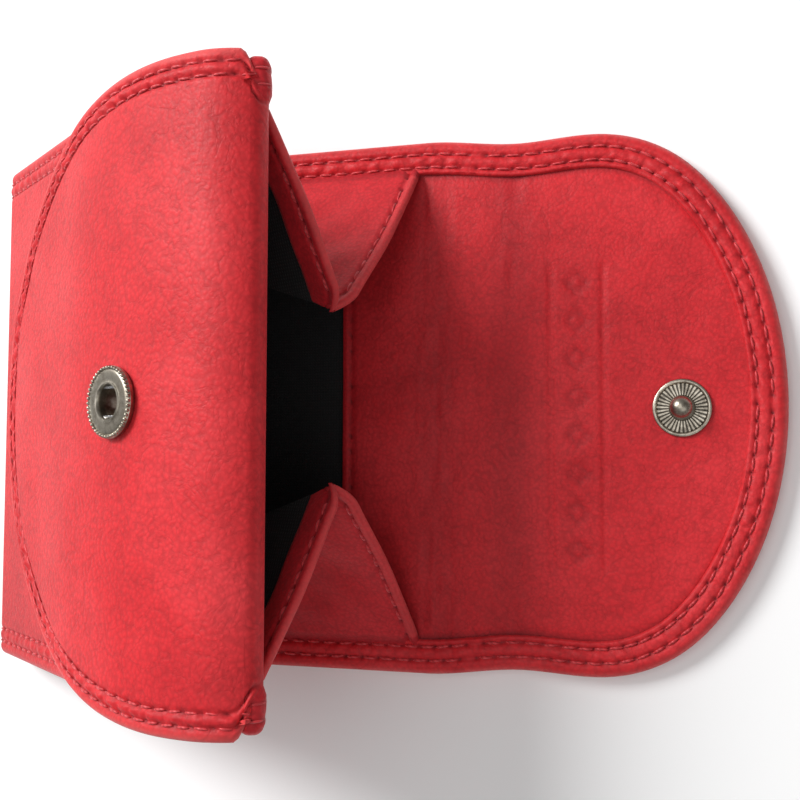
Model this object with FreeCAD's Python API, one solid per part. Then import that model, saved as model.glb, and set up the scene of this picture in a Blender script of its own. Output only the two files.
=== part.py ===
import FreeCAD, Part
import math
import os

from FreeCAD import Vector

# Coin purse, open and lying on its back. Millimetres.
# Origin: middle of the footprint, on the table. +X runs from the bottom fold to the tip of
# the flap, +Y across the purse, +Z up. One strip of leather makes flap, spine, back and the
# inner front wall; a D-shaped panel covers that wall; two V-pleat gussets close the sides.

# Leather strip
strip_half_width = 38.0
flap_start_x = 10.0
flap_tip_x = 58.9
fold_radius = 3.0
fold_centre_x = -55.9
lower_fold_x = 11.7
upper_fold_x = 22.4
fold_gap = 0.3

# Material thicknesses
leather = 1.2
board = 0.6
facing = 0.8
lining = 0.3
hem_height = 1.8
hem_width = 4.9
hem_setback = 0.3
layer_gap = 0.1
sheet_gap = 0.04

# Heights of the layers above the table
board_z = leather
facing_z = board_z + board
hem_top_z = leather + hem_height
facing_start_x = -2.7
layers_start_x = fold_centre_x + 1.0

# Seams: each thread lies in a groove, flush with the leather
thread_width = 0.5
thread_depth = 0.25
strip_seam_insets = (2.0, 3.9)
front_seam_insets = (1.7, 3.4)
gusset_seam_inset = 1.3

# Front wall and D panel: a straight rise, then a bow towards the mouth
front_rise = math.radians(37.6)
front_straight = 31.1
front_bow_radius = 68.0
mouth_slope = math.radians(6.8)
return_depth = leather + board
front_inner_depth = return_depth + leather + lining + layer_gap
mouth_roll_radius = (front_inner_depth + leather) / 2
mouth_lip = 8.0
front_outline_tilt = math.radians(30.0)
front_board_start = 12.0
front_lining_start = 2.0
front_lining_inset = 1.0

# Gussets
gusset_thickness = 0.6
gusset_hem_thickness = 0.4
gusset_hem_width = 3.5
gusset_fold_setback = 0.8
back_seam_foot = Vector(-50.0, 32.4, 3.9)
back_seam_mouth = Vector(9.1, 32.4, 3.9)
front_seam_foot = Vector(-50.9, 33.0, 7.6)
front_seam_mouth = Vector(1.8, 34.0, 34.5)
gusset_apex = Vector(4.3, 11.9, 20.6)
gusset_foot_cut = 0.14
gusset_apex_gap = 0.5

# Snap fastener
snap_y = -1.1
stud_x = 45.45
stud_disc_radius = 3.85
stud_disc_height = 0.5
stud_rim_width = 0.5
stud_rim_slope = 0.3
stud_dish_height = 0.3
stud_foot_radius = 1.7
stud_foot_height = 0.6
stud_neck_radius = 1.1
stud_ball_radius = 1.5
stud_height = 3.9
post_radius = 1.3
cap_radius = 4.4
cap_height = 0.8
cap_chamfer = 0.3
socket_along = 46.2
socket_radius = 4.6
socket_height = 1.4
socket_hole_radius = 2.1
socket_chamfer = 0.35
socket_foot_chamfer = 0.2
eyelet_radius = 2.7
eyelet_drop = 0.2
eyelet_flange_radius = 4.0
eyelet_flange = 0.6
wire_radius = 0.22
wire_length = 5.0
wire_offset = 1.84
wire_travel = 0.35
wire_clearance = 0.15

reach = 60.0
spline_steps = 36
up = Vector(0, 0, 1)


def save(shape, name):
    shape.exportStep(os.path.join("parts", name + ".step"))


def box(x0, x1, y0, y1, z0, z1):
    return Part.makeBox(x1 - x0, y1 - y0, z1 - z0, Vector(x0, y0, z0))


def join(solids):
    return Part.makeCompound(solids)


def mirrored(shape):
    return shape.mirror(Vector(0, 0, 0), Vector(0, 1, 0))


def closed_face(edges):
    return Part.Face(Part.Wire(Part.__sortEdges__(edges)))


def inset_spline(points, end_tangents, inset):
    """Smooth curve through the points, moved to its left by the inset."""
    base = Part.BSplineCurve()
    base.interpolate(Points=points, InitialTangent=end_tangents[0], FinalTangent=end_tangents[1])
    if inset == 0:
        return base
    span = base.LastParameter - base.FirstParameter
    moved = []
    for step in range(spline_steps + 1):
        at = base.FirstParameter + span * step / spline_steps
        tangent = base.tangent(at)[0]
        moved.append(base.value(at) + Vector(-tangent.y, tangent.x, 0) * inset)
    curve = Part.BSplineCurve()
    curve.interpolate(Points=moved, InitialTangent=end_tangents[0], FinalTangent=end_tangents[1])
    return curve


def strip_face(inset):
    """Plan outline of the open strip: parallel sides, a slight waist, a rounded flap."""
    edge = [(flap_start_x, 38.0), (23.3, 36.8), (35.1, 37.15), (39.7, 36.2),
            (45.0, 33.5), (50.2, 28.3), (55.2, 19.5)]
    lower = [Vector(x, -y, 0) for x, y in edge]
    upper = [Vector(x, y, 0) for x, y in reversed(edge)]
    points = lower + [Vector(flap_tip_x, 0, 0)] + upper
    flap = inset_spline(points, (Vector(1, 0, 0), Vector(-1, 0, 0)), inset)
    half = strip_half_width - inset
    corners = [Vector(flap_start_x, half, 0), Vector(-reach, half, 0),
               Vector(-reach, -half, 0), Vector(flap_start_x, -half, 0)]
    sides = [Part.makeLine(corners[i], corners[i + 1]) for i in range(3)]
    return closed_face([flap.toShape()] + sides)


def strip_slab(inset, x0, x1, z0, z1):
    slab = strip_face(inset).extrude(up * (z1 - z0))
    slab.translate(up * z0)
    return slab.common(box(x0, x1, -reach, reach, z0 - 1, z1 + 1))


def strip_ring(outer, inner, x0, x1, z0, z1):
    return strip_slab(outer, x0, x1, z0, z1).cut(strip_slab(inner, x0, x1, z0 - 1, z1 + 1))


def strip_threads(x0, x1):
    """Both rows of stitching along the turned edge, flush with its top."""
    rows = []
    for inset in strip_seam_insets:
        row = strip_ring(inset - thread_width / 2, inset + thread_width / 2, x0, x1,
                         hem_top_z - thread_depth, hem_top_z)
        rows.extend(row.Solids)
    return join(rows)


def front_point(along, depth):
    """Point of the front wall in the XZ plane: distance from the bottom fold along the
    outside of the D panel, and depth below that surface."""
    rise = Vector(math.cos(front_rise), 0, math.sin(front_rise))
    out = Vector(-math.sin(front_rise), 0, math.cos(front_rise))
    start = fold_axis + out * (fold_radius + return_depth)
    if along <= front_straight:
        return start + rise * along - out * depth
    bow_centre = start + rise * front_straight - out * front_bow_radius
    slope = front_rise - (along - front_straight) / front_bow_radius
    radius = front_bow_radius - depth
    return bow_centre + Vector(-math.sin(slope), 0, math.cos(slope)) * radius


def front_path(start, end, depth):
    """Edges along the front wall at one depth, from one distance to another."""
    stops = [start, end]
    if min(stops) < front_straight < max(stops):
        stops.insert(1, front_straight)
    edges = []
    for near, far in zip(stops, stops[1:]):
        a = front_point(near, depth)
        b = front_point(far, depth)
        if max(near, far) <= front_straight:
            edges.append(Part.makeLine(a, b))
        else:
            edges.append(Part.Arc(a, front_point((near + far) / 2, depth), b).toShape())
    return edges


def front_layer(start, end, depth0, depth1, half_width):
    """Closed solid of one layer of the front wall, across the purse."""
    ends = [Part.makeLine(front_point(at, depth0), front_point(at, depth1)) for at in (start, end)]
    face = closed_face(front_path(start, end, depth0) + front_path(start, end, depth1) + ends)
    face.translate(Vector(0, -half_width, 0))
    return face.extrude(Vector(0, 2 * half_width, 0))


def panel_prism(inset):
    """Everything inside the D outline, square to the panel's mean plane."""
    edge = [(66.0, 40.6), (53.0, 40.9), (38.0, 38.6), (27.0, 34.0), (15.0, 24.2), (8.0, 12.0)]
    upper = [Vector(u, y, 0) for u, y in edge]
    lower = [Vector(u, -y, 0) for u, y in reversed(edge)]
    points = upper + [Vector(5.9, 0, 0)] + lower
    curve = inset_spline(points, (Vector(-1, 0, 0), Vector(1, 0, 0)), inset)
    half = edge[0][1] - inset
    corners = [Vector(edge[0][0], -half, 0), Vector(2 * reach, -half, 0),
               Vector(2 * reach, half, 0), Vector(edge[0][0], half, 0)]
    sides = [Part.makeLine(corners[i], corners[i + 1]) for i in range(3)]
    prism = closed_face([curve.toShape()] + sides).extrude(up * 2 * reach)
    prism.translate(up * -reach)
    turn = FreeCAD.Rotation(Vector(0, 1, 0), -math.degrees(front_outline_tilt))
    prism.Placement = FreeCAD.Placement(front_point(0, 0), turn).multiply(prism.Placement)
    return prism


def panel_leather():
    """D panel with its mouth edge rolled over the front wall into a lip inside."""
    turn = Vector(-math.sin(mouth_slope), 0, math.cos(mouth_slope))
    ahead = Vector(math.cos(mouth_slope), 0, math.sin(mouth_slope))
    roll_centre = front_point(front_length, mouth_roll_radius)
    outer_mid = roll_centre + ahead * mouth_roll_radius
    inner_mid = roll_centre + ahead * (mouth_roll_radius - leather)
    top = front_point(front_length, 0)
    under = roll_centre - turn * mouth_roll_radius
    inner_top = front_point(front_length, leather)
    inner_under = roll_centre - turn * (mouth_roll_radius - leather)
    lip_end = front_length - mouth_lip
    edges = front_path(0, front_length, 0)
    edges.append(Part.Arc(top, outer_mid, under).toShape())
    edges += front_path(front_length, lip_end, lip_bottom)
    edges.append(Part.makeLine(front_point(lip_end, lip_bottom), front_point(lip_end, lip_top)))
    edges += front_path(lip_end, front_length, lip_top)
    edges.append(Part.Arc(inner_under, inner_mid, inner_top).toShape())
    edges += front_path(front_length, 0, leather)
    edges.append(Part.makeLine(front_point(0, leather), front_point(0, 0)))
    face = closed_face(edges)
    face.translate(Vector(0, -reach, 0))
    return face.extrude(Vector(0, 2 * reach, 0)).common(panel_prism(0))


def socket_placement():
    """Z axis straight out of the D panel at the snap, X axis up the panel."""
    slope = front_rise - (socket_along - front_straight) / front_bow_radius
    place = front_point(socket_along, 0) + Vector(0, snap_y, 0)
    return FreeCAD.Placement(place, FreeCAD.Rotation(Vector(0, 1, 0), -math.degrees(slope)))


def at_socket(shape):
    shape.Placement = socket_placement().multiply(shape.Placement)
    return shape


def cylinder(radius, z0, z1, x=0.0, y=0.0):
    return Part.makeCylinder(radius, z1 - z0, Vector(x, y, z0), up)


def turned(points, x, y):
    """Solid of revolution about a vertical axis from (radius, height) pairs."""
    outline = Part.makePolygon([Vector(r, 0, z) for r, z in points + points[:1]])
    solid = Part.Face(outline).revolve(Vector(0, 0, 0), up, 360)
    solid.translate(Vector(x, y, 0))
    return solid


def snap_stud():
    """Dished disc with a rolled rim and a ball on a neck, seated on the facing."""
    floor = facing_z + facing
    stud_rim_radius = stud_disc_radius - stud_rim_width
    disc = turned([(post_radius, floor), (stud_disc_radius, floor),
                   (stud_disc_radius, floor + stud_disc_height),
                   (stud_rim_radius, floor + stud_disc_height),
                   (stud_rim_radius - stud_rim_slope, floor + stud_dish_height),
                   (post_radius, floor + stud_dish_height)], stud_x, snap_y)
    ball_z = floor + stud_height - stud_ball_radius
    neck = cylinder(stud_neck_radius, floor, ball_z, stud_x, snap_y)
    foot = cylinder(stud_foot_radius, floor, floor + stud_foot_height, stud_x, snap_y)
    ball = Part.makeSphere(stud_ball_radius, Vector(stud_x, snap_y, ball_z))
    return disc.fuse([foot, neck, ball]).removeSplitter()


def snap_cap():
    """Flat cap pressed flush into the outside of the flap, with the post that it rivets."""
    cap = turned([(0, 0), (cap_radius - cap_chamfer, 0), (cap_radius, cap_chamfer),
                  (cap_radius, cap_height), (0, cap_height)], stud_x, snap_y)
    post = cylinder(post_radius, cap_height, facing_z + facing, stud_x, snap_y)
    return cap.fuse(post).removeSplitter()


def snap_socket():
    """Ring with a hole for the ball and a slot on each side for a spring wire."""
    shoulder = socket_height - socket_chamfer
    ring = turned([(socket_hole_radius, 0), (socket_radius - socket_foot_chamfer, 0),
                   (socket_radius, socket_foot_chamfer), (socket_radius, shoulder),
                   (socket_radius - socket_chamfer, socket_height),
                   (socket_hole_radius + socket_chamfer, socket_height),
                   (socket_hole_radius, shoulder)], 0, 0)
    half_x = wire_length / 2 + wire_clearance
    half_y = wire_offset + wire_radius + wire_travel + wire_clearance
    half_z = wire_radius + wire_clearance
    slot = box(-half_x, half_x, -half_y, half_y, wire_height - half_z, wire_height + half_z)
    return at_socket(ring.cut(slot))


def snap_eyelet():
    """Tube through the front wall with a flange clenched inside the pocket."""
    bottom = -return_end - lining - eyelet_drop
    tube = turned([(socket_hole_radius, 0), (eyelet_radius, 0), (eyelet_radius, bottom),
                   (eyelet_flange_radius, bottom), (eyelet_flange_radius, bottom - eyelet_flange),
                   (socket_hole_radius, bottom - eyelet_flange)], 0, 0)
    return at_socket(tube)


def snap_wire(side):
    wire = Part.makeCylinder(wire_radius, wire_length,
                             Vector(-wire_length / 2, side * wire_offset, wire_height),
                             Vector(1, 0, 0))
    return at_socket(wire)


def gusset_half(foot, mouth, pocket_side):
    """One flat half of a gusset: leather, the hem along its mouth edge, and its seam.
    pocket_side is +1 when the pocket lies on the side of the plate's normal."""
    across = (mouth - foot).cross(gusset_apex - foot).normalize()
    fold = (gusset_apex - foot).normalize()
    inward = fold.cross(across).normalize()
    if inward.dot(mouth - foot) < 0:
        inward = inward * -1
    shift = inward * gusset_fold_setback
    seam_start = foot + (mouth - foot) * gusset_foot_cut
    fold_start = foot + (gusset_apex - foot) * gusset_foot_cut + shift
    apex = gusset_apex + shift
    plate = plate_solid([seam_start, mouth, apex, fold_start], across,
                        -gusset_thickness / 2, gusset_thickness / 2)
    edge_in = (mouth - apex).cross(across).normalize()
    if edge_in.dot(foot - apex) < 0:
        edge_in = edge_in * -1
    along = (apex - mouth).normalize()
    clear = along * gusset_hem_width
    tip = apex - along * gusset_apex_gap
    band = [mouth + clear, tip, tip + edge_in * gusset_hem_width,
            mouth + clear + edge_in * gusset_hem_width]
    near = pocket_side * gusset_thickness / 2
    far = near + pocket_side * gusset_hem_thickness
    hem = plate_solid(band, across, min(near, far), max(near, far))
    seam_in = edge_in * (gusset_seam_inset - thread_width / 2)
    seam_out = edge_in * (gusset_seam_inset + thread_width / 2)
    short = clear / 2
    row = [mouth + short + seam_in, apex - short + seam_in,
           apex - short + seam_out, mouth + short + seam_out]
    top = -near
    bottom = top + pocket_side * thread_depth
    thread = plate_solid(row, across, min(top, bottom), max(top, bottom))
    hem = hem.common(extended(plate, across))
    return {"leather": plate.cut(thread), "hem": hem, "seam": thread}


def plate_solid(corners, normal, low, high):
    """Flat plate between two heights along the normal."""
    face = Part.Face(Part.makePolygon(corners + corners[:1]))
    face.translate(normal * low)
    return face.extrude(normal * (high - low))


def extended(plate, normal):
    """The plate made thicker on both faces, to trim a hem to the plate's outline."""
    thick = plate.copy()
    for shift in (-1, 1):
        moved = plate.copy()
        moved.translate(normal * shift * gusset_thickness)
        thick = thick.fuse(moved)
    return thick


fold_axis = Vector(fold_centre_x, 0, fold_radius)
return_end = return_depth + leather
front_length = front_straight + front_bow_radius * (front_rise - mouth_slope)
lip_bottom = 2 * mouth_roll_radius
lip_top = lip_bottom - leather
wire_height = socket_height - 0.35 - wire_radius - wire_clearance
back_end = lower_fold_x - fold_gap / 2
spine_start = lower_fold_x + fold_gap / 2
spine_end = upper_fold_x - fold_gap / 2
flap_start = upper_fold_x + fold_gap / 2

os.makedirs("parts", exist_ok=True)

# Back: outer leather with the bottom fold, board, lining, facing and turned side edges
fold_stop = 90 + math.degrees(front_rise) + math.degrees(fold_gap / fold_radius)
fold_outer = Part.makeCylinder(fold_radius, 2 * strip_half_width, Vector(0, 0, 0), up,
                               270 - fold_stop)
fold_inner = Part.makeCylinder(fold_radius - leather, 2 * strip_half_width)
bottom_fold = fold_outer.cut(fold_inner)
bottom_fold.rotate(Vector(0, 0, 0), up, fold_stop)
bottom_fold.rotate(Vector(0, 0, 0), Vector(1, 0, 0), 90)
bottom_fold.translate(fold_axis + Vector(0, strip_half_width, 0))
back_skin = strip_slab(0, fold_centre_x, back_end, 0, leather)
save(back_skin.fuse(bottom_fold).removeSplitter(), "back_leather")

save(strip_slab(hem_width + layer_gap, layers_start_x, back_end, board_z, facing_z), "back_board")
save(strip_slab(hem_width + layer_gap, layers_start_x, facing_start_x - layer_gap,
                facing_z, facing_z + lining), "back_lining")
save(strip_slab(hem_width + layer_gap, facing_start_x, back_end, facing_z, facing_z + facing),
     "back_facing")
back_threads = strip_threads(layers_start_x, back_end)
back_hems = strip_ring(hem_setback, hem_width, layers_start_x, back_end, leather, hem_top_z)
back_hems = back_hems.cut(back_threads)
save(back_hems.common(box(-reach, reach, 0, reach, 0, reach)), "back_hem_upper")
save(back_hems.common(box(-reach, reach, -reach, 0, 0, reach)), "back_hem_lower")
save(back_threads, "back_seams")

# Spine: the same strip between the two folds, with fabric in place of board
save(strip_slab(0, spine_start, spine_end, 0, leather), "spine_leather")
save(strip_slab(hem_width + layer_gap, spine_start, spine_end, board_z, facing_z),
     "spine_interlining")
save(strip_slab(hem_width + layer_gap, spine_start, spine_end, facing_z, facing_z + facing),
     "spine_facing")
spine_threads = strip_threads(spine_start, spine_end)
spine_hems = strip_ring(hem_setback, hem_width, spine_start, spine_end, leather, hem_top_z)
spine_hems = spine_hems.cut(spine_threads)
save(spine_hems.common(box(-reach, reach, 0, reach, 0, reach)), "spine_hem_upper")
save(spine_hems.common(box(-reach, reach, -reach, 0, 0, reach)), "spine_hem_lower")
save(spine_threads, "spine_seams")

# Flap: outer leather, board, facing, turned edge and the stud of the snap
post_hole = cylinder(post_radius, -1, hem_top_z, stud_x, snap_y)
cap_seat = snap_cap()
save(strip_slab(0, flap_start, reach, 0, leather).cut(cap_seat), "flap_leather")
save(strip_slab(hem_width + layer_gap, flap_start, reach, board_z, facing_z).cut(post_hole),
     "flap_board")
save(strip_slab(hem_width + layer_gap, flap_start, reach, facing_z, facing_z + facing)
     .cut(post_hole), "flap_facing")
flap_threads = strip_threads(flap_start, reach)
save(strip_ring(hem_setback, hem_width, flap_start, reach, leather, hem_top_z)
     .cut(flap_threads), "flap_hem")
save(flap_threads, "flap_seams")
save(snap_stud(), "snap_stud")
save(cap_seat, "snap_cap")

# Front: inner wall made by the returning strip, board, D panel, lining and the snap's socket
eyelet_hole = at_socket(cylinder(eyelet_radius + sheet_gap, -reach, reach))
front_threads = []
for inset in front_seam_insets:
    layer = front_layer(0, front_length, 0, thread_depth, reach)
    row = layer.common(panel_prism(inset - thread_width / 2))
    row = row.cut(panel_prism(inset + thread_width / 2))
    front_threads.extend(row.Solids)
front_threads = join(front_threads)
save(front_threads, "front_seams")
save(panel_leather().cut(eyelet_hole).cut(front_threads), "front_panel")
wall_end = front_length - layer_gap
save(front_layer(front_board_start, wall_end, leather + sheet_gap, return_depth - sheet_gap, reach)
     .common(panel_prism(hem_width)).cut(eyelet_hole), "front_board")
save(front_layer(fold_gap, wall_end, return_depth, return_end, strip_half_width)
     .cut(eyelet_hole), "front_wall")
save(front_layer(front_lining_start, wall_end, return_end, return_end + lining,
                 strip_half_width - front_lining_inset).cut(eyelet_hole), "front_lining")
save(snap_socket(), "snap_socket")
save(snap_eyelet(), "snap_eyelet")
save(snap_wire(1), "snap_wire_upper")
save(snap_wire(-1), "snap_wire_lower")

# Gussets: two flat halves on each side, open along the fold between them
halves = {"back": gusset_half(back_seam_foot, back_seam_mouth, 1),
          "front": gusset_half(front_seam_foot, front_seam_mouth, -1)}
for half_name, pieces in halves.items():
    for piece_name, piece in pieces.items():
        save(piece, "gusset_upper_" + half_name + "_" + piece_name)
        save(mirrored(piece), "gusset_lower_" + half_name + "_" + piece_name)
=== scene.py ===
import math

import bpy
import numpy as np
from mathutils import Matrix, Vector


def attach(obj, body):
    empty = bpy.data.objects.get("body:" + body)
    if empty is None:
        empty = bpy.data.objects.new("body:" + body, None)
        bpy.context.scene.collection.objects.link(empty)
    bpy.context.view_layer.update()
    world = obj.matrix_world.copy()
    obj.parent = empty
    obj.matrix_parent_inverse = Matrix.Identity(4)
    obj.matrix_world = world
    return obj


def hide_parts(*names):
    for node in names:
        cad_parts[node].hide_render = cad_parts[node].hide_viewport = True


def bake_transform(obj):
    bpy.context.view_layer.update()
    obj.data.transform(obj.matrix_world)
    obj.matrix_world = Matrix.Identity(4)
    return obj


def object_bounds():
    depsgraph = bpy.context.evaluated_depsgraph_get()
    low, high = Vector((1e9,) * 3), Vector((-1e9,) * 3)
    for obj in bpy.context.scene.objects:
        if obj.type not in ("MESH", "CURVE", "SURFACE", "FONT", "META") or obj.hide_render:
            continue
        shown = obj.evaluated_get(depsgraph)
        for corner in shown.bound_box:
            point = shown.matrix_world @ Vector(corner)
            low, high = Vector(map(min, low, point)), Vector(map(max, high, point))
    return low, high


# Leather coin purse, open and lying on its back. Settings are millimetres, the scene is metres.
# +X runs from the bottom fold to the flap's tip, +Y across the purse, +Z up.

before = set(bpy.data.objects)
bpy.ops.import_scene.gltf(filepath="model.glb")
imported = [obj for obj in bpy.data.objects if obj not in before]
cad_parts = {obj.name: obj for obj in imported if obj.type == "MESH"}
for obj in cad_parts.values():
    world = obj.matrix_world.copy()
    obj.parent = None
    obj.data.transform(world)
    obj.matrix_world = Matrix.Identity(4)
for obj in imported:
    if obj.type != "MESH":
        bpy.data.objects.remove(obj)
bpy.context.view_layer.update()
mm = 0.001

strip = {
    "halfWidth": 38.0,
    "outline": [(10.0, 38.0), (23.3, 36.8), (35.1, 37.15), (39.7, 36.2), (45.0, 33.5),
                (50.2, 28.3), (55.2, 19.5), (58.9, 0.0)],
    "foldX": -55.9,
    "foldRadius": 3.0,
    "foldTurn": math.radians(142.4),
    "lowerFoldX": 11.7,
    "upperFoldX": 22.4,
    "splitX": -47.0,       # where the skin that bends round the bottom fold takes over
    "edgeHeight": 3.0,     # turned edge, from the table to its top
    "frontEdgeHeight": 2.0,
    "edgeRound": 1.3,
    "hemWidth": 4.9,
    "leather": 0.85,
    "seamInsets": (2.0, 3.9),
}
wall = {
    "rise": math.radians(37.6),
    "straight": 31.1,
    "bowRadius": 68.0,
    "bendFrom": 59.8,      # from here the wall turns down towards the mouth
    "bendRadius": 10.0,
    "length": 66.8,
    "wallDepth": 1.8,      # the strip's outer face lies this far under the D panel's
}


# shapes by formula

def splineThrough(points, startSlope, endSlope, spacing):
    # smooth curve through a few outline points, returned as evenly spaced points and tangents
    p = np.array(points, float)
    chord = np.linalg.norm(np.diff(p, axis=0), axis=1)
    count = len(p)
    lhs, rhs = np.zeros((count, count)), np.zeros((count, 2))
    lhs[0, 0] = lhs[-1, -1] = 1.0
    rhs[0], rhs[-1] = startSlope, endSlope
    for i in range(1, count - 1):
        a, b = chord[i - 1], chord[i]
        lhs[i, i - 1:i + 2] = b, 2 * (a + b), a
        rhs[i] = 3 * (a * (p[i + 1] - p[i]) / b + b * (p[i] - p[i - 1]) / a)
    slopes = np.linalg.solve(lhs, rhs)
    dense = []
    for i in range(count - 1):
        t = np.linspace(0, 1, 60, endpoint=i == count - 2)[:, None]
        h = chord[i]
        dense.append((1 + 2 * t) * (1 - t) ** 2 * p[i] + t * (1 - t) ** 2 * h * slopes[i]
                     + t * t * (3 - 2 * t) * p[i + 1] + t * t * (t - 1) * h * slopes[i + 1])
    dense = np.concatenate(dense)
    length = np.concatenate([[0.0], np.cumsum(np.linalg.norm(np.diff(dense, axis=0), axis=1))])
    steps = max(2, round(length[-1] / spacing))
    at = np.linspace(0, length[-1], steps + 1)
    even = np.stack([np.interp(at, length, dense[:, k]) for k in (0, 1)], axis=1)
    tangent = np.gradient(even, axis=0)
    tangent[0], tangent[-1] = startSlope, endSlope
    return even, tangent / np.linalg.norm(tangent, axis=1)[:, None]


def inwardOf(tangents):
    # across an outline, towards the middle line
    return np.stack([tangents[:, 1], -tangents[:, 0]], axis=1)


def eased(share):
    return share * share * (3 - 2 * share)


def waves(x, y, size, seed, octaves=3):
    # soft irregular unevenness from -1 to 1, with humps of about this size
    draw = np.random.default_rng(seed)
    total, weight = np.zeros(np.shape(x)), 0.0
    for octave in range(octaves):
        share = 0.55 ** octave
        for _ in range(5):
            turn, shift = draw.uniform(0, 2 * math.pi, 2)
            step = 2 * math.pi / (size * draw.uniform(0.7, 1.3)) * 1.9 ** octave
            total = total + share * np.sin(step * (x * math.cos(turn) + y * math.sin(turn)) + shift)
        weight += share * 2.2
    return total / weight


seam = {
    "pitch": 2.45,
    "groove": 0.2,
    "grooveWidth": 0.36,
    "hole": 0.32,
    "holeWidth": 0.34,
    "pucker": 0.13,
    "threadRadius": 0.17,
    "threadShare": 0.74,   # of the pitch that shows between two needle holes
}


def seamRelief(s, d, insets, lift=1.0):
    # how far the leather is pulled in (+) or puffs out (-) near rows of stitching
    pull = np.zeros(np.broadcast(s, d).shape)
    for row, inset in enumerate(insets):
        off = (d - inset) / seam["grooveWidth"]
        phase = (s / seam["pitch"] + 0.5 * row) % 1.0
        toHole = np.minimum(phase, 1 - phase) * seam["pitch"] / seam["holeWidth"]
        pull = pull + seam["groove"] * np.exp(-off ** 2)
        pull = pull + seam["hole"] * np.exp(-(off * 1.2) ** 2 - toHole ** 2)
    if len(insets) > 1:
        middle, half = (insets[0] + insets[1]) / 2, (insets[1] - insets[0]) / 2
        hump = np.exp(-((d - middle) / (half * 0.62)) ** 2)
        tuck = waves(s, d * 0.25, 2.1, 11, 2) + 0.5 * waves(s, d * 0.2, 0.9, 12, 1)
        pull = pull - lift * hump * (0.10 + seam["pucker"] * tuck)
        outer = np.exp(-((d - insets[0] + 1.1) / 0.5) ** 2)
        pull = pull - lift * outer * 0.05 * waves(s, d * 0.2, 1.7, 13, 2)
    return pull


def paintedShade(s, d, insets):
    # 0 to 1: painted shade in the needle holes and along the groove of each row of stitching
    shade = np.zeros(np.broadcast(s, d).shape)
    for row, inset in enumerate(insets):
        phase = (s / seam["pitch"] + 0.5 * row) % 1.0
        toHole = np.minimum(phase, 1 - phase) * seam["pitch"]
        shade = shade + 0.14 * np.exp(-((d - inset) / 0.3) ** 2)
        shade = shade + 0.85 * np.exp(-((d - inset) / 0.26) ** 2 - (toHole / 0.27) ** 2)
    return np.clip(shade, 0, 1)


def wallProfile():
    # front wall's outer line in the XZ plane: distance up it, slope, x and z
    along = np.linspace(0, wall["length"], 1400)
    rise = wall["rise"]
    slope = rise - np.maximum(along - wall["straight"], 0) / wall["bowRadius"]
    slope = slope - np.maximum(along - wall["bendFrom"], 0) * (1 / wall["bendRadius"]
                                                               - 1 / wall["bowRadius"])
    out = np.array([-math.sin(rise), math.cos(rise)]) * (strip["foldRadius"] + wall["wallDepth"])
    step = along[1]
    middle = (slope[1:] + slope[:-1]) / 2
    x = strip["foldX"] + out[0] + np.concatenate([[0.0], np.cumsum(np.cos(middle) * step)])
    z = strip["foldRadius"] + out[1] + np.concatenate([[0.0], np.cumsum(np.sin(middle) * step)])
    return along, slope, x, z


wallLine = wallProfile()
wallLength = wall["length"]
mouthSlope = wallLine[1][-1]


def wallPoint(along, depth):
    # distance up the wall from the bottom fold, and depth under the D panel's outer face
    along, depth = np.broadcast_arrays(np.asarray(along, float), np.asarray(depth, float))
    slope, x, z = (np.interp(along, wallLine[0], values) for values in wallLine[1:])
    return np.stack([x + np.sin(slope) * depth, z - np.cos(slope) * depth], -1)


def stripPoint(a, height):
    # the strip in the XZ plane: a is x on the flat, less than foldX round the fold and up the wall
    a, height = np.broadcast_arrays(np.asarray(a, float), np.asarray(height, float))
    radius, foldX = strip["foldRadius"], strip["foldX"]
    turn = np.clip((foldX - a) / radius, 0, strip["foldTurn"])
    bent = np.stack([foldX - (radius - height) * np.sin(turn),
                     radius - (radius - height) * np.cos(turn)], -1)
    along = foldX - a - radius * strip["foldTurn"]
    up = wallPoint(along, wall["wallDepth"] + height)
    flat = np.stack([a, height], -1)
    return np.where((along > 0)[..., None], up, np.where((a < foldX)[..., None], bent, flat))


# making and finishing meshes

def onlySelect(piece):
    bpy.ops.object.select_all(action="DESELECT")
    piece.select_set(True)
    bpy.context.view_layer.objects.active = piece


def finished(piece, name, angle=40):
    # its place goes into the mesh, doubles are merged and every face is turned outwards
    onlySelect(piece)
    bpy.ops.object.transform_apply(location=True, rotation=True, scale=True)
    bpy.ops.object.mode_set(mode="EDIT")
    bpy.ops.mesh.select_all(action="SELECT")
    bpy.ops.mesh.remove_doubles(threshold=0.000004)
    bpy.ops.mesh.normals_make_consistent(inside=False)
    bpy.ops.object.mode_set(mode="OBJECT")
    bpy.ops.object.shade_smooth_by_angle(angle=math.radians(angle))
    piece.name = name
    piece.data.name = name
    return piece


def sheetMesh(name, points, marks=None, flip=False):
    # a grid laid over points (rows, columns, xyz in mm); marks are per-point values that the
    # material reads: painted shade and edge wear
    rows, cols = points.shape[:2]
    bpy.ops.object.select_all(action="DESELECT")
    bpy.ops.mesh.primitive_grid_add(x_subdivisions=cols - 1, y_subdivisions=rows - 1, size=1)
    piece = bpy.context.object
    flat = np.zeros(len(piece.data.vertices) * 3)
    piece.data.vertices.foreach_get("co", flat)
    flat = flat.reshape(-1, 3) + 0.5
    col = np.rint(flat[:, 0] * (cols - 1)).astype(int)
    row = np.rint(flat[:, 1] * (rows - 1)).astype(int)
    placed = points[row, col] * mm
    piece.data.vertices.foreach_set("co", placed.ravel())
    for key, values in (marks or {}).items():
        layer = piece.data.attributes.new(key, "FLOAT", "POINT")
        layer.data.foreach_set("value", values[row, col].astype(np.float32))
    if flip:
        piece.data.flip_normals()
    piece.data.update()
    piece.name = name
    return piece


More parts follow.
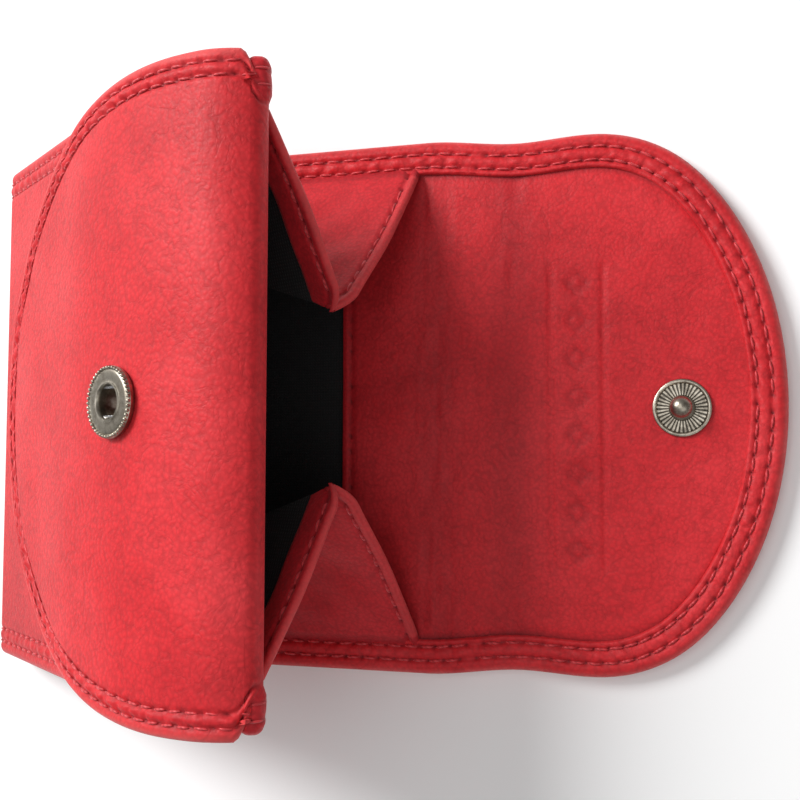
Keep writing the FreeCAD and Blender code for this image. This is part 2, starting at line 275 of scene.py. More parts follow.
def weld(piece):
    onlySelect(piece)
    bpy.ops.object.mode_set(mode="EDIT")
    bpy.ops.mesh.select_all(action="SELECT")
    bpy.ops.mesh.remove_doubles(threshold=0.000004)
    bpy.ops.object.mode_set(mode="OBJECT")


def thicken(piece, thickness, inward=True):
    onlySelect(piece)
    wallModifier = piece.modifiers.new("wall", "SOLIDIFY")
    wallModifier.thickness = thickness * mm
    wallModifier.offset = -1.0 if inward else 1.0
    wallModifier.use_even_offset = False
    bpy.ops.object.modifier_apply(modifier="wall")
    bpy.ops.object.shade_smooth_by_angle(angle=math.radians(50))
    return piece


def joined(pieces, name):
    bpy.ops.object.select_all(action="DESELECT")
    for piece in pieces:
        piece.select_set(True)
    bpy.context.view_layer.objects.active = pieces[0]
    if len(pieces) > 1:
        bpy.ops.object.join()
    piece = bpy.context.object
    piece.name = name
    piece.data.name = name
    return piece


def paint(piece, material):
    piece.data.materials.clear()
    piece.data.materials.append(material)
    return piece


snap = {
    "y": -1.1,
    "studX": 45.45,
    "studSeat": 2.6,
    "along": 46.2,
    "beads": 46,
    "ribs": 36,
    "leatherHole": 2.9,
    "boardHole": 2.7,
    "liningHole": 2.6,
}


def openHole(piece, radius):
    # takes out the faces round the snap's axis, before the sheet gets its thickness
    slope = float(np.interp(snap["along"], wallLine[0], wallLine[1]))
    foot = wallPoint(snap["along"], 0)
    axis = Vector((-math.sin(slope), 0, math.cos(slope)))
    centre = Vector((foot[0], snap["y"], foot[1]))
    onlySelect(piece)
    for item in list(piece.data.edges) + list(piece.data.vertices):
        item.select = False
    for polygon in piece.data.polygons:
        off = polygon.center / mm - centre
        along = off.dot(axis)
        polygon.select = abs(along) < 7 and (off - axis * along).length < radius
    bpy.context.tool_settings.mesh_select_mode = (False, False, True)
    bpy.ops.object.mode_set(mode="EDIT")
    bpy.ops.mesh.delete(type="FACE")
    bpy.ops.object.mode_set(mode="OBJECT")
    bpy.context.tool_settings.mesh_select_mode = (True, False, False)


# finishes

def colour(hexText):
    parts = [int(hexText[i:i + 2], 16) / 255 for i in (1, 3, 5)]
    linear = [c / 12.92 if c <= 0.04045 else ((c + 0.055) / 1.055) ** 2.4 for c in parts]
    return (*linear, 1.0)


def addNode(tree, kind, settings=None, links=None):
    node = tree.nodes.new(kind)
    for key, value in (settings or {}).items():
        if hasattr(node, key):
            setattr(node, key, value)
        else:
            node.inputs[key].default_value = value
    for key, source in (links or {}).items():
        tree.links.new(source, node.inputs[key])
    return node


def newMaterial(name, settings):
    material = bpy.data.materials.new(name)
    material.use_nodes = True
    tree = material.node_tree
    shader = tree.nodes["Principled BSDF"]
    for key, value in settings.items():
        shader.inputs[key].default_value = value
    place = addNode(tree, "ShaderNodeTexCoord").outputs["Object"]
    return material, tree, shader, place


def ramp(tree, source, stops):
    node = addNode(tree, "ShaderNodeValToRGB", links={"Fac": source})
    elements = node.color_ramp.elements
    while len(elements) < len(stops):
        elements.new(0.5)
    for element, (at, value) in zip(elements, stops):
        element.position = at
        element.color = colour(value) if isinstance(value, str) else (value, value, value, 1)
    return node.outputs["Color"]


def sum2(tree, a, b, share):
    node = addNode(tree, "ShaderNodeMath", {"operation": "MULTIPLY_ADD"})
    tree.links.new(b, node.inputs[0])
    node.inputs[1].default_value = share
    tree.links.new(a, node.inputs[2])
    return node.outputs[0]


def mixColour(tree, factor, first, second, blend="MIX"):
    node = addNode(tree, "ShaderNodeMix", {"data_type": "RGBA", "blend_type": blend})
    for socket, value in ((node.inputs["Factor"], factor), (node.inputs[6], first),
                          (node.inputs[7], second)):
        if isinstance(value, bpy.types.NodeSocket):
            tree.links.new(value, socket)
        else:
            socket.default_value = value
    return node.outputs[2]


leatherLook = {
    "outer": {"name": "Pebbled nappa leather, red", "body": "#cf252c", "deep": "#bf1e26",
              "pale": "#d9343a", "grain": 0.62, "depth": 0.000055, "roughness": 0.54},
    "facing": {"name": "Smooth nappa leather, red", "body": "#cd2129", "deep": "#bb1a23",
               "pale": "#d52c33", "grain": 0.5, "depth": 0.000045, "roughness": 0.56},
    "gusset": {"name": "Skived nappa leather, red", "body": "#c8222b", "deep": "#b41b25",
               "pale": "#d02c34", "grain": 0.5, "depth": 0.000045, "roughness": 0.56},
}


def leatherMaterial(look):
    # drum-dyed nappa: a fine pebble with hair creases, satin where it is lit, paler where it wears
    material, tree, shader, place = newMaterial(look["name"], {
        "IOR": 1.45, "Specular IOR Level": 0.3, "Sheen Weight": 0.06,
        "Sheen Roughness": 0.5})
    perMetre = 1 / (look["grain"] * mm)
    drift = addNode(tree, "ShaderNodeTexNoise", {"Scale": perMetre * 0.35, "Detail": 2.0},
                    {"Vector": place})
    bent = addNode(tree, "ShaderNodeVectorMath", {"operation": "SCALE"},
                   {0: drift.outputs["Color"]})
    bent.inputs["Scale"].default_value = look["grain"] * mm * 1.3
    moved = addNode(tree, "ShaderNodeVectorMath", {"operation": "ADD"},
                    {0: place, 1: bent.outputs[0]}).outputs[0]
    pebble = addNode(tree, "ShaderNodeTexVoronoi", {"feature": "SMOOTH_F1", "Scale": perMetre,
                                                    "Smoothness": 0.35, "Randomness": 1.0},
                     {"Vector": moved})
    fine = addNode(tree, "ShaderNodeTexNoise", {"Scale": perMetre * 2.6, "Detail": 3.0},
                   {"Vector": place})
    crease = addNode(tree, "ShaderNodeTexNoise",
                     {"Scale": 210.0, "Detail": 5.0, "Roughness": 0.62, "Distortion": 0.5},
                     {"Vector": place})
    folds = ramp(tree, crease.outputs["Fac"],
                 [(0.0, 1.0), (0.46, 1.0), (0.5, 0.0), (0.54, 1.0), (1.0, 1.0)])
    broad = addNode(tree, "ShaderNodeTexNoise", {"Scale": 55.0, "Detail": 3.0, "Roughness": 0.55},
                    {"Vector": place})
    tone = ramp(tree, broad.outputs["Fac"], [(0.3, look["deep"]), (0.5, look["body"]),
                                             (0.72, look["pale"])])
    pits = ramp(tree, pebble.outputs["Distance"], [(0.25, 1.0), (0.75, 0.80)])
    tone = mixColour(tree, 1.0, tone, pits, "MULTIPLY")
    creaseTone = ramp(tree, folds, [(0.0, 0.87), (1.0, 1.0)])
    tone = mixColour(tree, 1.0, tone, creaseTone, "MULTIPLY")
    wear = addNode(tree, "ShaderNodeAttribute", {"attribute_name": "wear"}).outputs["Fac"]
    tone = mixColour(tree, wear, tone, colour("#e0605e"))
    # painted shade: the per-point marks darken the colour in needle holes, seam grooves, folds,
    # stamped lozenges, tucked flanges and along hem edges
    dark = addNode(tree, "ShaderNodeAttribute", {"attribute_name": "paintedShade"}).outputs["Fac"]
    tone = mixColour(tree, dark, tone, colour("#5e0d16"))
    tree.links.new(tone, shader.inputs["Base Color"])
    height = addNode(tree, "ShaderNodeMath", {"operation": "MULTIPLY"},
                     {0: pebble.outputs["Distance"]})
    height.inputs[1].default_value = -1.0
    height = sum2(tree, height.outputs[0], fine.outputs["Fac"], 0.35)
    height = sum2(tree, height, folds, 0.35)
    bump = addNode(tree, "ShaderNodeBump", {"Strength": 0.85, "Distance": look["depth"]},
                   {"Height": height})
    tree.links.new(bump.outputs["Normal"], shader.inputs["Normal"])
    rough = ramp(tree, fine.outputs["Fac"], [(0.3, look["roughness"] - 0.07),
                                             (0.7, look["roughness"] + 0.1)])
    tree.links.new(rough, shader.inputs["Roughness"])
    return material


def threadMaterial():
    # waxed polyester, three plies: a soft gleam broken by the twist
    material, tree, shader, place = newMaterial("Twisted polyester thread, red", {
        "IOR": 1.52, "Sheen Weight": 0.3, "Sheen Roughness": 0.4})
    ply = addNode(tree, "ShaderNodeTexWave", {"Scale": 1 / (0.22 * mm) / 6.28, "Distortion": 1.0,
                                              "bands_direction": "DIAGONAL"}, {"Vector": place})
    tone = ramp(tree, ply.outputs["Fac"], [(0.0, "#b01d26"), (1.0, "#d2343b")])
    tree.links.new(tone, shader.inputs["Base Color"])
    bump = addNode(tree, "ShaderNodeBump", {"Strength": 0.6, "Distance": 0.00004},
                   {"Height": ply.outputs["Fac"]})
    tree.links.new(bump.outputs["Normal"], shader.inputs["Normal"])
    tree.links.new(ramp(tree, ply.outputs["Fac"], [(0.0, 0.62), (1.0, 0.42)]),
                   shader.inputs["Roughness"])
    return material


def weaveMaterial(name, dark, pale, spacing, roughness, sheen):
    # plain weave: warp and weft cross in humps a thread apart, drawn wide enough to show
    material, tree, shader, place = newMaterial(name, {"IOR": 1.45, "Sheen Weight": sheen,
                                                       "Sheen Roughness": 0.6})
    perMetre = 1 / (spacing * mm)
    bands = [addNode(tree, "ShaderNodeTexWave", {"Scale": perMetre / 6.28 * 2, "Distortion": 0.6,
                                                 "Detail": 1.0, "bands_direction": axis},
                     {"Vector": place}).outputs["Fac"] for axis in ("X", "Y")]
    weave = addNode(tree, "ShaderNodeMath", {"operation": "MULTIPLY"},
                    {0: bands[0], 1: bands[1]}).outputs[0]
    fuzz = addNode(tree, "ShaderNodeTexNoise", {"Scale": perMetre * 1.5, "Detail": 3.0},
                   {"Vector": place}).outputs["Fac"]
    height = sum2(tree, weave, fuzz, 0.4)
    tree.links.new(ramp(tree, height, [(0.1, dark), (0.9, pale)]), shader.inputs["Base Color"])
    tree.links.new(ramp(tree, fuzz, [(0.2, roughness - 0.08), (0.8, roughness + 0.06)]),
                   shader.inputs["Roughness"])
    bump = addNode(tree, "ShaderNodeBump", {"Strength": 0.7, "Distance": spacing * mm * 0.25},
                   {"Height": height})
    tree.links.new(bump.outputs["Normal"], shader.inputs["Normal"])
    return material


def metalMaterial(name, bright, mid, dark, roughness, grime):
    # plated and rubbed: bright where fingers polish it, dark patina left in the hollows
    material, tree, shader, place = newMaterial(name, {"Metallic": 1.0})
    cloud = addNode(tree, "ShaderNodeTexNoise", {"Scale": 900.0, "Detail": 5.0, "Roughness": 0.65},
                    {"Vector": place}).outputs["Fac"]
    scratch = addNode(tree, "ShaderNodeMapping", {"vector_type": "POINT"}, {"Vector": place})
    scratch.inputs["Scale"].default_value = (3000, 26000, 9000)
    lines = addNode(tree, "ShaderNodeTexNoise", {"Scale": 1.0, "Detail": 3.0},
                    {"Vector": scratch.outputs[0]}).outputs["Fac"]
    tone = ramp(tree, cloud, [(0.32, dark), (0.5, mid), (0.7, bright)])
    hollow = addNode(tree, "ShaderNodeAttribute", {"attribute_name": "hollow"}).outputs["Fac"]
    tone = mixColour(tree, hollow, tone, colour(grime))
    tree.links.new(tone, shader.inputs["Base Color"])
    tree.links.new(ramp(tree, cloud, [(0.3, roughness + 0.16), (0.7, roughness)]),
                   shader.inputs["Roughness"])
    bump = addNode(tree, "ShaderNodeBump", {"Strength": 0.35, "Distance": 0.00002},
                   {"Height": sum2(tree, cloud, lines, 0.5)})
    tree.links.new(bump.outputs["Normal"], shader.inputs["Normal"])
    return material


def boardMaterial():
    # bonded leather board: pressed fibres, matt and brown
    material, tree, shader, place = newMaterial("Bonded leather board", {"Roughness": 0.9})
    fibre = addNode(tree, "ShaderNodeMapping", {"vector_type": "POINT"}, {"Vector": place})
    fibre.inputs["Scale"].default_value = (900, 4200, 900)
    flecks = addNode(tree, "ShaderNodeTexNoise", {"Scale": 1.0, "Detail": 4.0},
                     {"Vector": fibre.outputs[0]}).outputs["Fac"]
    tree.links.new(ramp(tree, flecks, [(0.3, "#8a6f52"), (0.7, "#b89a76")]),
                   shader.inputs["Base Color"])
    bump = addNode(tree, "ShaderNodeBump", {"Strength": 0.4, "Distance": 0.00005},
                   {"Height": flecks})
    tree.links.new(bump.outputs["Normal"], shader.inputs["Normal"])
    return material


outerLeather = leatherMaterial(leatherLook["outer"])
facingLeather = leatherMaterial(leatherLook["facing"])
gussetFinish = leatherMaterial(leatherLook["gusset"])
thread = threadMaterial()
liningCloth = weaveMaterial("Black cotton twill", "#0b0b0c", "#1b1a1b", 0.42, 0.85, 0.05)
interliningCloth = weaveMaterial("Unbleached cotton canvas", "#b9b2a2", "#e0dacb", 0.5, 0.9, 0.1)
boardFinish = boardMaterial()
nickel = metalMaterial("Antique nickel plating", "#c4bcae", "#a39b8d", "#7b7368", 0.26, "#2b2621")
springSteel = metalMaterial("Drawn spring steel", "#d8d8d8", "#b9b9ba", "#8f8f92", 0.2, "#3a3a3c")
print("finishes made")


# leather strip: back, spine and flap with the turned edge

def edgeColumns(edgeRound, hemWidth, lastSeam):
    # (inset, share of the edge's height, is it the turned-over top) across one side, hem to middle
    columns = [(hemWidth - 0.5, 0.60, 1), (hemWidth - 0.02, 0.66, 1), (hemWidth, 0.86, 1),
               (hemWidth - 0.12, 0.95, 1), (hemWidth - 0.35, 1.0, 1)]
    columns += [(d, 1.0, 1) for d in np.linspace(hemWidth - 0.6, edgeRound, 16)]
    turns = np.linspace(0, math.pi, 13)[1:-1]
    columns += [(edgeRound * (1 - math.sin(t)), 0.5 + 0.5 * math.cos(t), 1 if t < 1.5 else 0)
                for t in turns]
    columns += [(d, 0.0, 0) for d in np.linspace(edgeRound, lastSeam + 1.0, 13)]
    columns += [(d, 0.0, 0) for d in np.linspace(lastSeam + 1.6, 8.0, 5)]
    return columns


def stripOutline():
    # upper half of the open strip's edge from the split near the bottom fold to the flap's tip
    curve, tangent = splineThrough(strip["outline"], (1, 0), (0, -1), 0.4)
    x = np.arange(strip["splitX"], strip["outline"][0][0], 0.4)
    sides = np.stack([x, np.full(len(x), strip["halfWidth"])], axis=1)
    points = np.concatenate([sides, curve])
    tangents = np.concatenate([np.tile([1.0, 0.0], (len(x), 1)), tangent])
    steps = np.linalg.norm(np.diff(points, axis=0), axis=1)
    length = np.concatenate([[0.0], np.cumsum(steps)])
    return points, tangents, length


outlinePoints, outlineTangents, outlineLength = stripOutline()
midSpineX = (strip["lowerFoldX"] + strip["upperFoldX"]) / 2
spineRow = int(np.argmin(np.abs(outlinePoints[:, 0] - midSpineX)))
midSpineX = outlinePoints[spineRow, 0]
wholeLength = outlineLength[-1]


def capDent(x, y):
    # the leather is pressed in round the rivet cap
    off = np.clip((np.hypot(x - snap["studX"], y - snap["y"]) - 4.2) / 1.1, 0, 1)
    return 0.5 * (1 - eased(off))


def coverPoints(first, last):
    # one closed run of the strip between two rows of its outline, from hem to hem
    side = edgeColumns(strip["edgeRound"], strip["hemWidth"], strip["seamInsets"][1])
    p, t = outlinePoints[first:last + 1], outlineTangents[first:last + 1]
    s = outlineLength[first:last + 1]
    inward = inwardOf(t)
    height = strip["edgeHeight"]
    rowsOut, shades, wears = [], [], []
    for mirror in (1, -1):
        run = s if mirror == 1 else 2 * wholeLength - s
        cols, shade, wear = [], [], []
        for d, share, top in side:
            xy = p + inward * d
            flatShare = 1.0 if share in (0.0, 1.0) else 0.0
            pull = seamRelief(run, d, strip["seamInsets"]) * flatShare
            swell = 0.06 * waves(run, d * 0.5, 9.0, 21) * flatShare
            z = share * height + (-pull + swell if top else np.maximum(pull * 0.8, 0))
            cols.append(np.stack([xy[:, 0], mirror * xy[:, 1], z], axis=1))
            # painted shade in the needle holes and grooves, plus a painted shadow line on the hem's
            # inner edge where share is 0.66
            shade.append(paintedShade(run, d, strip["seamInsets"]) * flatShare
                         + (0.5 if share == 0.66 else 0.0) * np.ones(len(run)))
            rub = math.exp(-((d - 0.2) / 0.5) ** 2) * (0.30 + 0.15 * waves(run, 0 * run, 6.0, 22))
            wear.append(np.clip(rub, 0, 1))
        inner = p + inward * 8.0
        for share in (0.9, 0.75, 0.6, 0.45, 0.3, 0.22, 0.18, 0.15, 0.12, 0.09, 0.06, 0.03):
            sideways = mirror * inner[:, 1] * share
            cols.append(np.stack([inner[:, 0], sideways, capDent(inner[:, 0], sideways)], axis=1))
            shade.append(0 * s)
            wear.append(0 * s)
        if mirror == -1:
            cols, shade, wear = cols[::-1], shade[::-1], wear[::-1]
        else:
            cols.append(np.stack([inner[:, 0], 0 * s, capDent(inner[:, 0], 0 * s)], axis=1))
            shade.append(0 * s)
            wear.append(0 * s)
        rowsOut += cols
        shades += shade
        wears += wear
    points = np.stack(rowsOut, axis=1)
    return points, {"paintedShade": np.stack(shades, axis=1), "wear": np.stack(wears, axis=1)}


def buildCover(name, first, last):
    points, marks = coverPoints(first, last)
    piece = sheetMesh(name, points, marks, flip=True)
    weld(piece)
    thicken(piece, strip["leather"])
    for vertex in piece.data.vertices:
        vertex.co.z = max(vertex.co.z, 0)
    return paint(piece, outerLeather)


lastRow = len(outlinePoints) - 1
backCover = buildCover("backCover", 0, spineRow)
flapCover = buildCover("flapCover", spineRow, lastRow)
print("strip covers made")


# bottom fold and inner front wall

def foldPoints():
    side = edgeColumns(strip["edgeRound"], strip["hemWidth"], strip["seamInsets"][1])
    foldEnd = strip["foldX"] - strip["foldRadius"] * strip["foldTurn"]
    a = np.concatenate([np.arange(strip["splitX"], strip["foldX"], -0.45),
                        np.arange(strip["foldX"], foldEnd, -0.25),
                        np.arange(foldEnd, foldEnd - wallLength + 0.6, -0.45)])
    squeeze = eased(np.clip((strip["splitX"] - 3 - a) / 5.0, 0, 1))
    height = strip["edgeHeight"] + (strip["frontEdgeHeight"] - strip["edgeHeight"]) * squeeze
    rowsOut, shades, wears = [], [], []
    for mirror in (1, -1):
        s = a - strip["splitX"] if mirror == 1 else 2 * wholeLength - (a - strip["splitX"])
        cols, shade, wear = [], [], []
        for d, share, top in side:
            flatShare = 1.0 if share in (0.0, 1.0) else 0.0
            pull = seamRelief(s, d, strip["seamInsets"]) * flatShare
            z = share * height + (-pull * (1 - squeeze) if top else pull * 0.8)
            xz = stripPoint(a, z)
            y = np.full(len(a), mirror * (strip["halfWidth"] - d))
            cols.append(np.stack([xz[:, 0], y, xz[:, 1]], axis=1))
            shade.append(paintedShade(s, d, strip["seamInsets"]) * flatShare)
            wear.append(np.full(len(a), 0.3 * math.exp(-((d - 0.2) / 0.5) ** 2)))
        for share in (0.9, 0.75, 0.6, 0.45, 0.3, 0.2, 0.15, 0.11, 0.08, 0.05, 0.02) + (
                (0.0,) if mirror == 1 else ()):
            xz = stripPoint(a, 0 * a)
            y = np.full(len(a), mirror * share * (strip["halfWidth"] - 8.0))
            cols.append(np.stack([xz[:, 0], y, xz[:, 1]], axis=1))
            shade.append(0 * a)
            wear.append(0 * a)
        if mirror == -1:
            cols, shade, wear = cols[::-1], shade[::-1], wear[::-1]
        rowsOut += cols
        shades += shade
        wears += wear
    marks = {"paintedShade": np.stack(shades, axis=1), "wear": np.stack(wears, axis=1)}
    return np.stack(rowsOut, axis=1), marks


points, marks = foldPoints()
foldCover = sheetMesh("foldCover", points, marks)
weld(foldCover)
openHole(foldCover, snap["leatherHole"])
thicken(foldCover, strip["leather"])
paint(foldCover, outerLeather)
print("bottom fold made")


# D panel

panel = {
    "outline": [(5.9, 0.0), (8.0, 12.0), (15.0, 24.2), (27.0, 34.0), (38.0, 38.6),
                (53.0, 40.9), (66.0, 40.6)],
    "halfWidth": 40.9,
    "tilt": math.radians(30.0),
    "edgeHeight": 1.75,
    "edgeRound": 1.0,
    "leather": 0.8,
    "lipHeight": 1.2,
    "rollRadius": 2.3,
    "lip": 8.0,
    "cornerCut": 3.3,      # the rolled mouth edge is this much shorter at each side
    "seamInsets": (1.7, 3.4),
}


def mouthPoint(along, depth):
    # the same, carried on round the rolled mouth edge and back inside as the lip
    along, depth = np.broadcast_arrays(np.asarray(along, float), np.asarray(depth, float))
    radius = panel["rollRadius"]
    arc = math.pi * radius
    centre = wallPoint(wallLength, radius)
    turn = np.clip((along - wallLength) / radius, 0, math.pi)
    out = np.array([-math.sin(mouthSlope), math.cos(mouthSlope)])
    ahead = np.array([math.cos(mouthSlope), math.sin(mouthSlope)])
    rolled = centre + (radius - depth)[..., None] * (out * np.cos(turn)[..., None]
                                                     + ahead * np.sin(turn)[..., None])
    inside = wallPoint(2 * wallLength + arc - along, 2 * radius - depth)
    over = (along > wallLength)[..., None]
    past = (along > wallLength + arc)[..., None]
    return np.where(past, inside, np.where(over, rolled, wallPoint(along, depth)))


def panelAlong(u):
    # distance up the bowed wall that stands over distance u on the panel's flat pattern
    along = np.linspace(0, wallLength, 400)
    xz = wallPoint(along, 0 * along) - wallPoint(0, 0)
    flat = xz @ np.array([math.cos(panel["tilt"]), math.sin(panel["tilt"])])
    return np.interp(u, flat, along), flat[-1]


def panelPoints():
    curve, tangent = splineThrough(panel["outline"], (0, 1), (1, 0), 0.4)
    mouthU = panelAlong(0)[1]
    more = np.arange(curve[-1, 0] + 0.3, mouthU, 0.4)
    curve = np.concatenate([curve, np.stack([more, np.full(len(more), curve[-1, 1])], 1)])
    tangent = np.concatenate([tangent, np.tile([1.0, 0.0], (len(more), 1))])
    s = np.concatenate([[0.0], np.cumsum(np.linalg.norm(np.diff(curve, axis=0), axis=1))])
    rollLength = math.pi * panel["rollRadius"] + panel["lip"]
    extra = np.linspace(0, rollLength, 46)
    inward = inwardOf(tangent)
    high, low = panel["edgeHeight"], panel["lipHeight"]
    r = panel["edgeRound"]
    side = [(5.0, 1.0, 0), (3.4, 1.0, 0), (2.0, 1.0, 0), (r, 1.0, 0)]
    side += [(r * (1 - math.sin(t)), 0.5 + 0.5 * math.cos(t), 0)
             for t in np.linspace(0, math.pi, 11)[1:-1]]
    side += [(d, 0.0, 1) for d in np.linspace(r, 4.6, 15)]
    side += [(d, 0.0, 1) for d in (5.1, 5.7, 6.4, 7.2, 8.0)]
    rowsOut, shades, wears = [], [], []
    for mirror in (1, -1):
        cols, shade, wear = [], [], []
        for d, share, top in side + [(-k, 0.0, 1) for k in (0.9, 0.8, 0.7, 0.6, 0.5, 0.42, 0.34,
                                                           0.26, 0.2, 0.15, 0.11, 0.08, 0.05,
                                                           0.02, 0.0)]:
            if d == 0 and mirror == -1 and share == 0 and top == 1:
                continue
            if d <= 0 and share == 0 and top:
                base = curve + inward * 8.0
                u, y = base[:, 0], base[:, 1] * -d
                pull, dark, rub = 0 * s, 0 * s, 0.0
            else:
                base = curve + inward * d
                u, y = base[:, 0], base[:, 1]
                flatShare = 1.0 if top else 0.0
                pull = seamRelief(mirror * s, d, panel["seamInsets"], 1.25) * flatShare
                dark = paintedShade(mirror * s, d, panel["seamInsets"]) * flatShare
                rub = 0.5 * math.exp(-((d - 0.3) / 0.7) ** 2)
            along = panelAlong(u)[0]
            depth = share * high + pull
            mouthDepth = share * low
            alongAll = np.concatenate([along, wallLength + extra])
            settle = np.clip(extra / 3.0, 0, 1)
            lastPull = pull[-1] * (1 - settle)
            depthAll = np.concatenate([depth, share * high + (mouthDepth - share * high) * settle
                                       + lastPull])
            yAll = mirror * np.concatenate([y, np.full(len(extra), y[-1])])
            cut = eased(np.clip((alongAll - wallLength + 1.2) / 2.6, 0, 1))
            yAll = yAll * (1 - panel["cornerCut"] / panel["halfWidth"] * cut)
            sag = 0.12 * waves(alongAll, yAll, 24.0, 31, 2) * (1.0 if top else 0.0)
            fade = np.clip((alongAll - 3) / 6, 0, 1) * np.clip((wallLength + 3 - alongAll) / 6, 0, 1)
            xz = mouthPoint(alongAll, depthAll + sag * fade)
            cols.append(np.stack([xz[:, 0], yAll, xz[:, 1]], axis=1))
            shade.append(np.concatenate([dark, dark[-1] * (1 - settle)]))
            wear.append(np.full(len(alongAll), max(rub, 0.0)))
        if mirror == -1:
            cols, shade, wear = cols[::-1], shade[::-1], wear[::-1]
        rowsOut += cols
        shades += shade
        wears += wear
    marks = {"paintedShade": np.stack(shades, axis=1), "wear": np.stack(wears, axis=1)}
    return np.stack(rowsOut, axis=1), marks


points, marks = panelPoints()
frontPanel = sheetMesh("frontPanel", points, marks)
weld(frontPanel)
openHole(frontPanel, snap["leatherHole"])
thicken(frontPanel, panel["leather"])
paint(frontPanel, outerLeather)
print("front panel made")


board = {
    "inset": 5.2,          # from the D panel's edge
    "mouthGap": 1.5,
    "underFace": 0.95,
    "thickness": 0.6,
    "columns": 81,
}


def frontBoardPoints():
    curve, tangent = splineThrough(panel["outline"], (0, 1), (1, 0), 0.8)
    base = curve + inwardOf(tangent) * board["inset"]
    along = panelAlong(base[:, 0])[0]
    more = np.linspace(along[-1], wallLength - board["mouthGap"], 14)[1:]
    along = np.concatenate([along, more])
    edge = np.concatenate([base[:, 1], np.full(len(more), base[-1, 1])])
    y = edge[:, None] * np.linspace(1, -1, board["columns"])[None, :]
    along = np.repeat(along[:, None], board["columns"], axis=1)
    xz = wallPoint(along, board["underFace"])
    return np.stack([xz[..., 0], y, xz[..., 1]], axis=2)


frontBoard = sheetMesh("frontBoard", frontBoardPoints())
weld(frontBoard)
openHole(frontBoard, snap["boardHole"])
thicken(frontBoard, board["thickness"])
paint(frontBoard, boardFinish)
print("front board made")


# facing on the inner side

facing = {
    "top": 2.6,
    "startX": -2.7,
    "tuck": 4.2,           # how far in from the strip's edge the facing ends, under the hem
    "thickness": 0.5,
    "seamInset": 1.4,
    "bandX": 31.5,         # impressed band of lozenges between two lines
    "bandHalfLength": 21.0,
    "bandMiddleY": -2.0,
    "lineOffset": 3.6,
    "lozengePitch": 5.25,
}


def facingPoints(first, last, startsHere):
    p, t = outlinePoints[first:last + 1], outlineTangents[first:last + 1]
    inward = inwardOf(t)
    base = p + inward * facing["tuck"]
    across = np.linspace(1, -1, 121)
    x = np.repeat(base[:, :1], len(across), axis=1)
    y = base[:, 1:2] * across[None, :]
    top = facing["top"]
    near = np.exp(-((x - strip["lowerFoldX"]) / 3.2) ** 2)
    near = near + np.exp(-((x - strip["upperFoldX"]) / 3.2) ** 2)
    soft = 0.06 * waves(x, y, 17.0, 41) + 0.03 * waves(x, y, 5.0, 42, 2)
    crease = near * (0.09 * waves(x * 2.6, y * 0.5, 7.0, 43, 2) - 0.07)
    z = top + soft + crease
    bandX, pitch = facing["bandX"], facing["lozengePitch"]
    alongBand = y - facing["bandMiddleY"]
    inBand = np.abs(alongBand) < facing["bandHalfLength"]
    for offset in (-facing["lineOffset"], facing["lineOffset"]):
        z = z - 0.24 * np.exp(-((x - bandX - offset) / 0.4) ** 2) * inBand
    lozenge = np.abs(alongBand % pitch - pitch / 2) / 1.7 + np.abs(x - bandX) / 1.9
    stamped = np.exp(-((lozenge - 0.75) / 0.3) ** 2) * inBand
    z = z - 0.26 * stamped
    # painted shade in the creases at the folds and in the stamped lozenges
    shade = 0.2 * near + 0.3 * stamped
    fromHem = (1 - np.abs(across))[None, :] * base[:, 1:2] - 0.7
    z = z - 0.22 * np.exp(-(np.maximum(fromHem, 0) / 0.9) ** 2)
    # painted shadow on the facing where the hem's edge stands over it
    shade = shade + 0.75 * np.exp(-(fromHem / 0.42) ** 2) * (fromHem > -0.3)
    if startsHere:
        s = y + 100.0
        d = x - facing["startX"]
        z = z - seamRelief(s, d, (facing["seamInset"],))
        z = z - 0.35 * np.exp(-d / 0.18)
        shade = shade + paintedShade(s, d, (facing["seamInset"],))
    points = np.stack([x, y, z], axis=2)
    if startsHere:
        edge = points[:1].copy()
        edge[:, :, 2] -= 0.35
        points = np.concatenate([edge, points])
        shade = np.concatenate([shade[:1], shade])
    return points, {"paintedShade": np.clip(shade, 0, 1), "wear": 0 * shade}


facingRow = int(np.argmin(np.abs(outlinePoints[:, 0] - facing["startX"])))
facingPieces = []
for name, first, last in (("backFacing", facingRow, spineRow), ("flapFacing", spineRow, lastRow)):
    points, marks = facingPoints(first, last, name == "backFacing")
    piece = sheetMesh(name, points, marks)
    weld(piece)
    thicken(piece, facing["thickness"])
    facingPieces.append(paint(piece, facingLeather))
backFacing, flapFacing = facingPieces
print("facings made")


# gussets: outer leather with a turned mouth edge, and a cloth lining on the pocket side

def unit(v):
    v = np.asarray(v, float)
    return v / np.linalg.norm(v)


gusset = {
    "backFoot": (-54.0, 32.4, 3.9),
    "backMouth": (9.1, 32.4, 3.9),
    "frontFoot": (-54.0, 33.0, 5.2),
    "frontMouth": (-0.8, 34.0, 33.6),
    "apex": (4.6, 11.3, 20.6),
    "creaseFoot": (-54.0, 32.2, 4.6),
    "footShare": 0.012,
    "leather": 0.5,
    "lining": 0.2,
    "liningLift": 0.45,
    "liningReach": 58.0,   # the mouth seam is this far from the foot
    "edgeRoll": 0.6,
    "bendBefore": 0.7,
    "bendAfter": 0.9,
    "hem": 5.2,
    "seamInset": 1.5,
    "bulge": 0.9,
}


def gussetNode(half, word):
    return "gusset_" + word.lower() + "_" + half


def gussetFrame(half, mirror):
    flip = np.array([1.0, mirror, 1.0])
    foot, mouth = (np.array(gusset[half + end]) * flip for end in ("Foot", "Mouth"))
    crease, apex = np.array(gusset["creaseFoot"]) * flip, np.array(gusset["apex"]) * flip
    normal = unit(np.cross(mouth - foot, apex - foot))
    toPocket = np.array([0.0, -mirror, -1.0]) if half == "back" else np.array([0, -mirror, 1.0])
    if normal @ toPocket < 0:
        normal = -normal
    return foot, mouth, crease, apex, normal


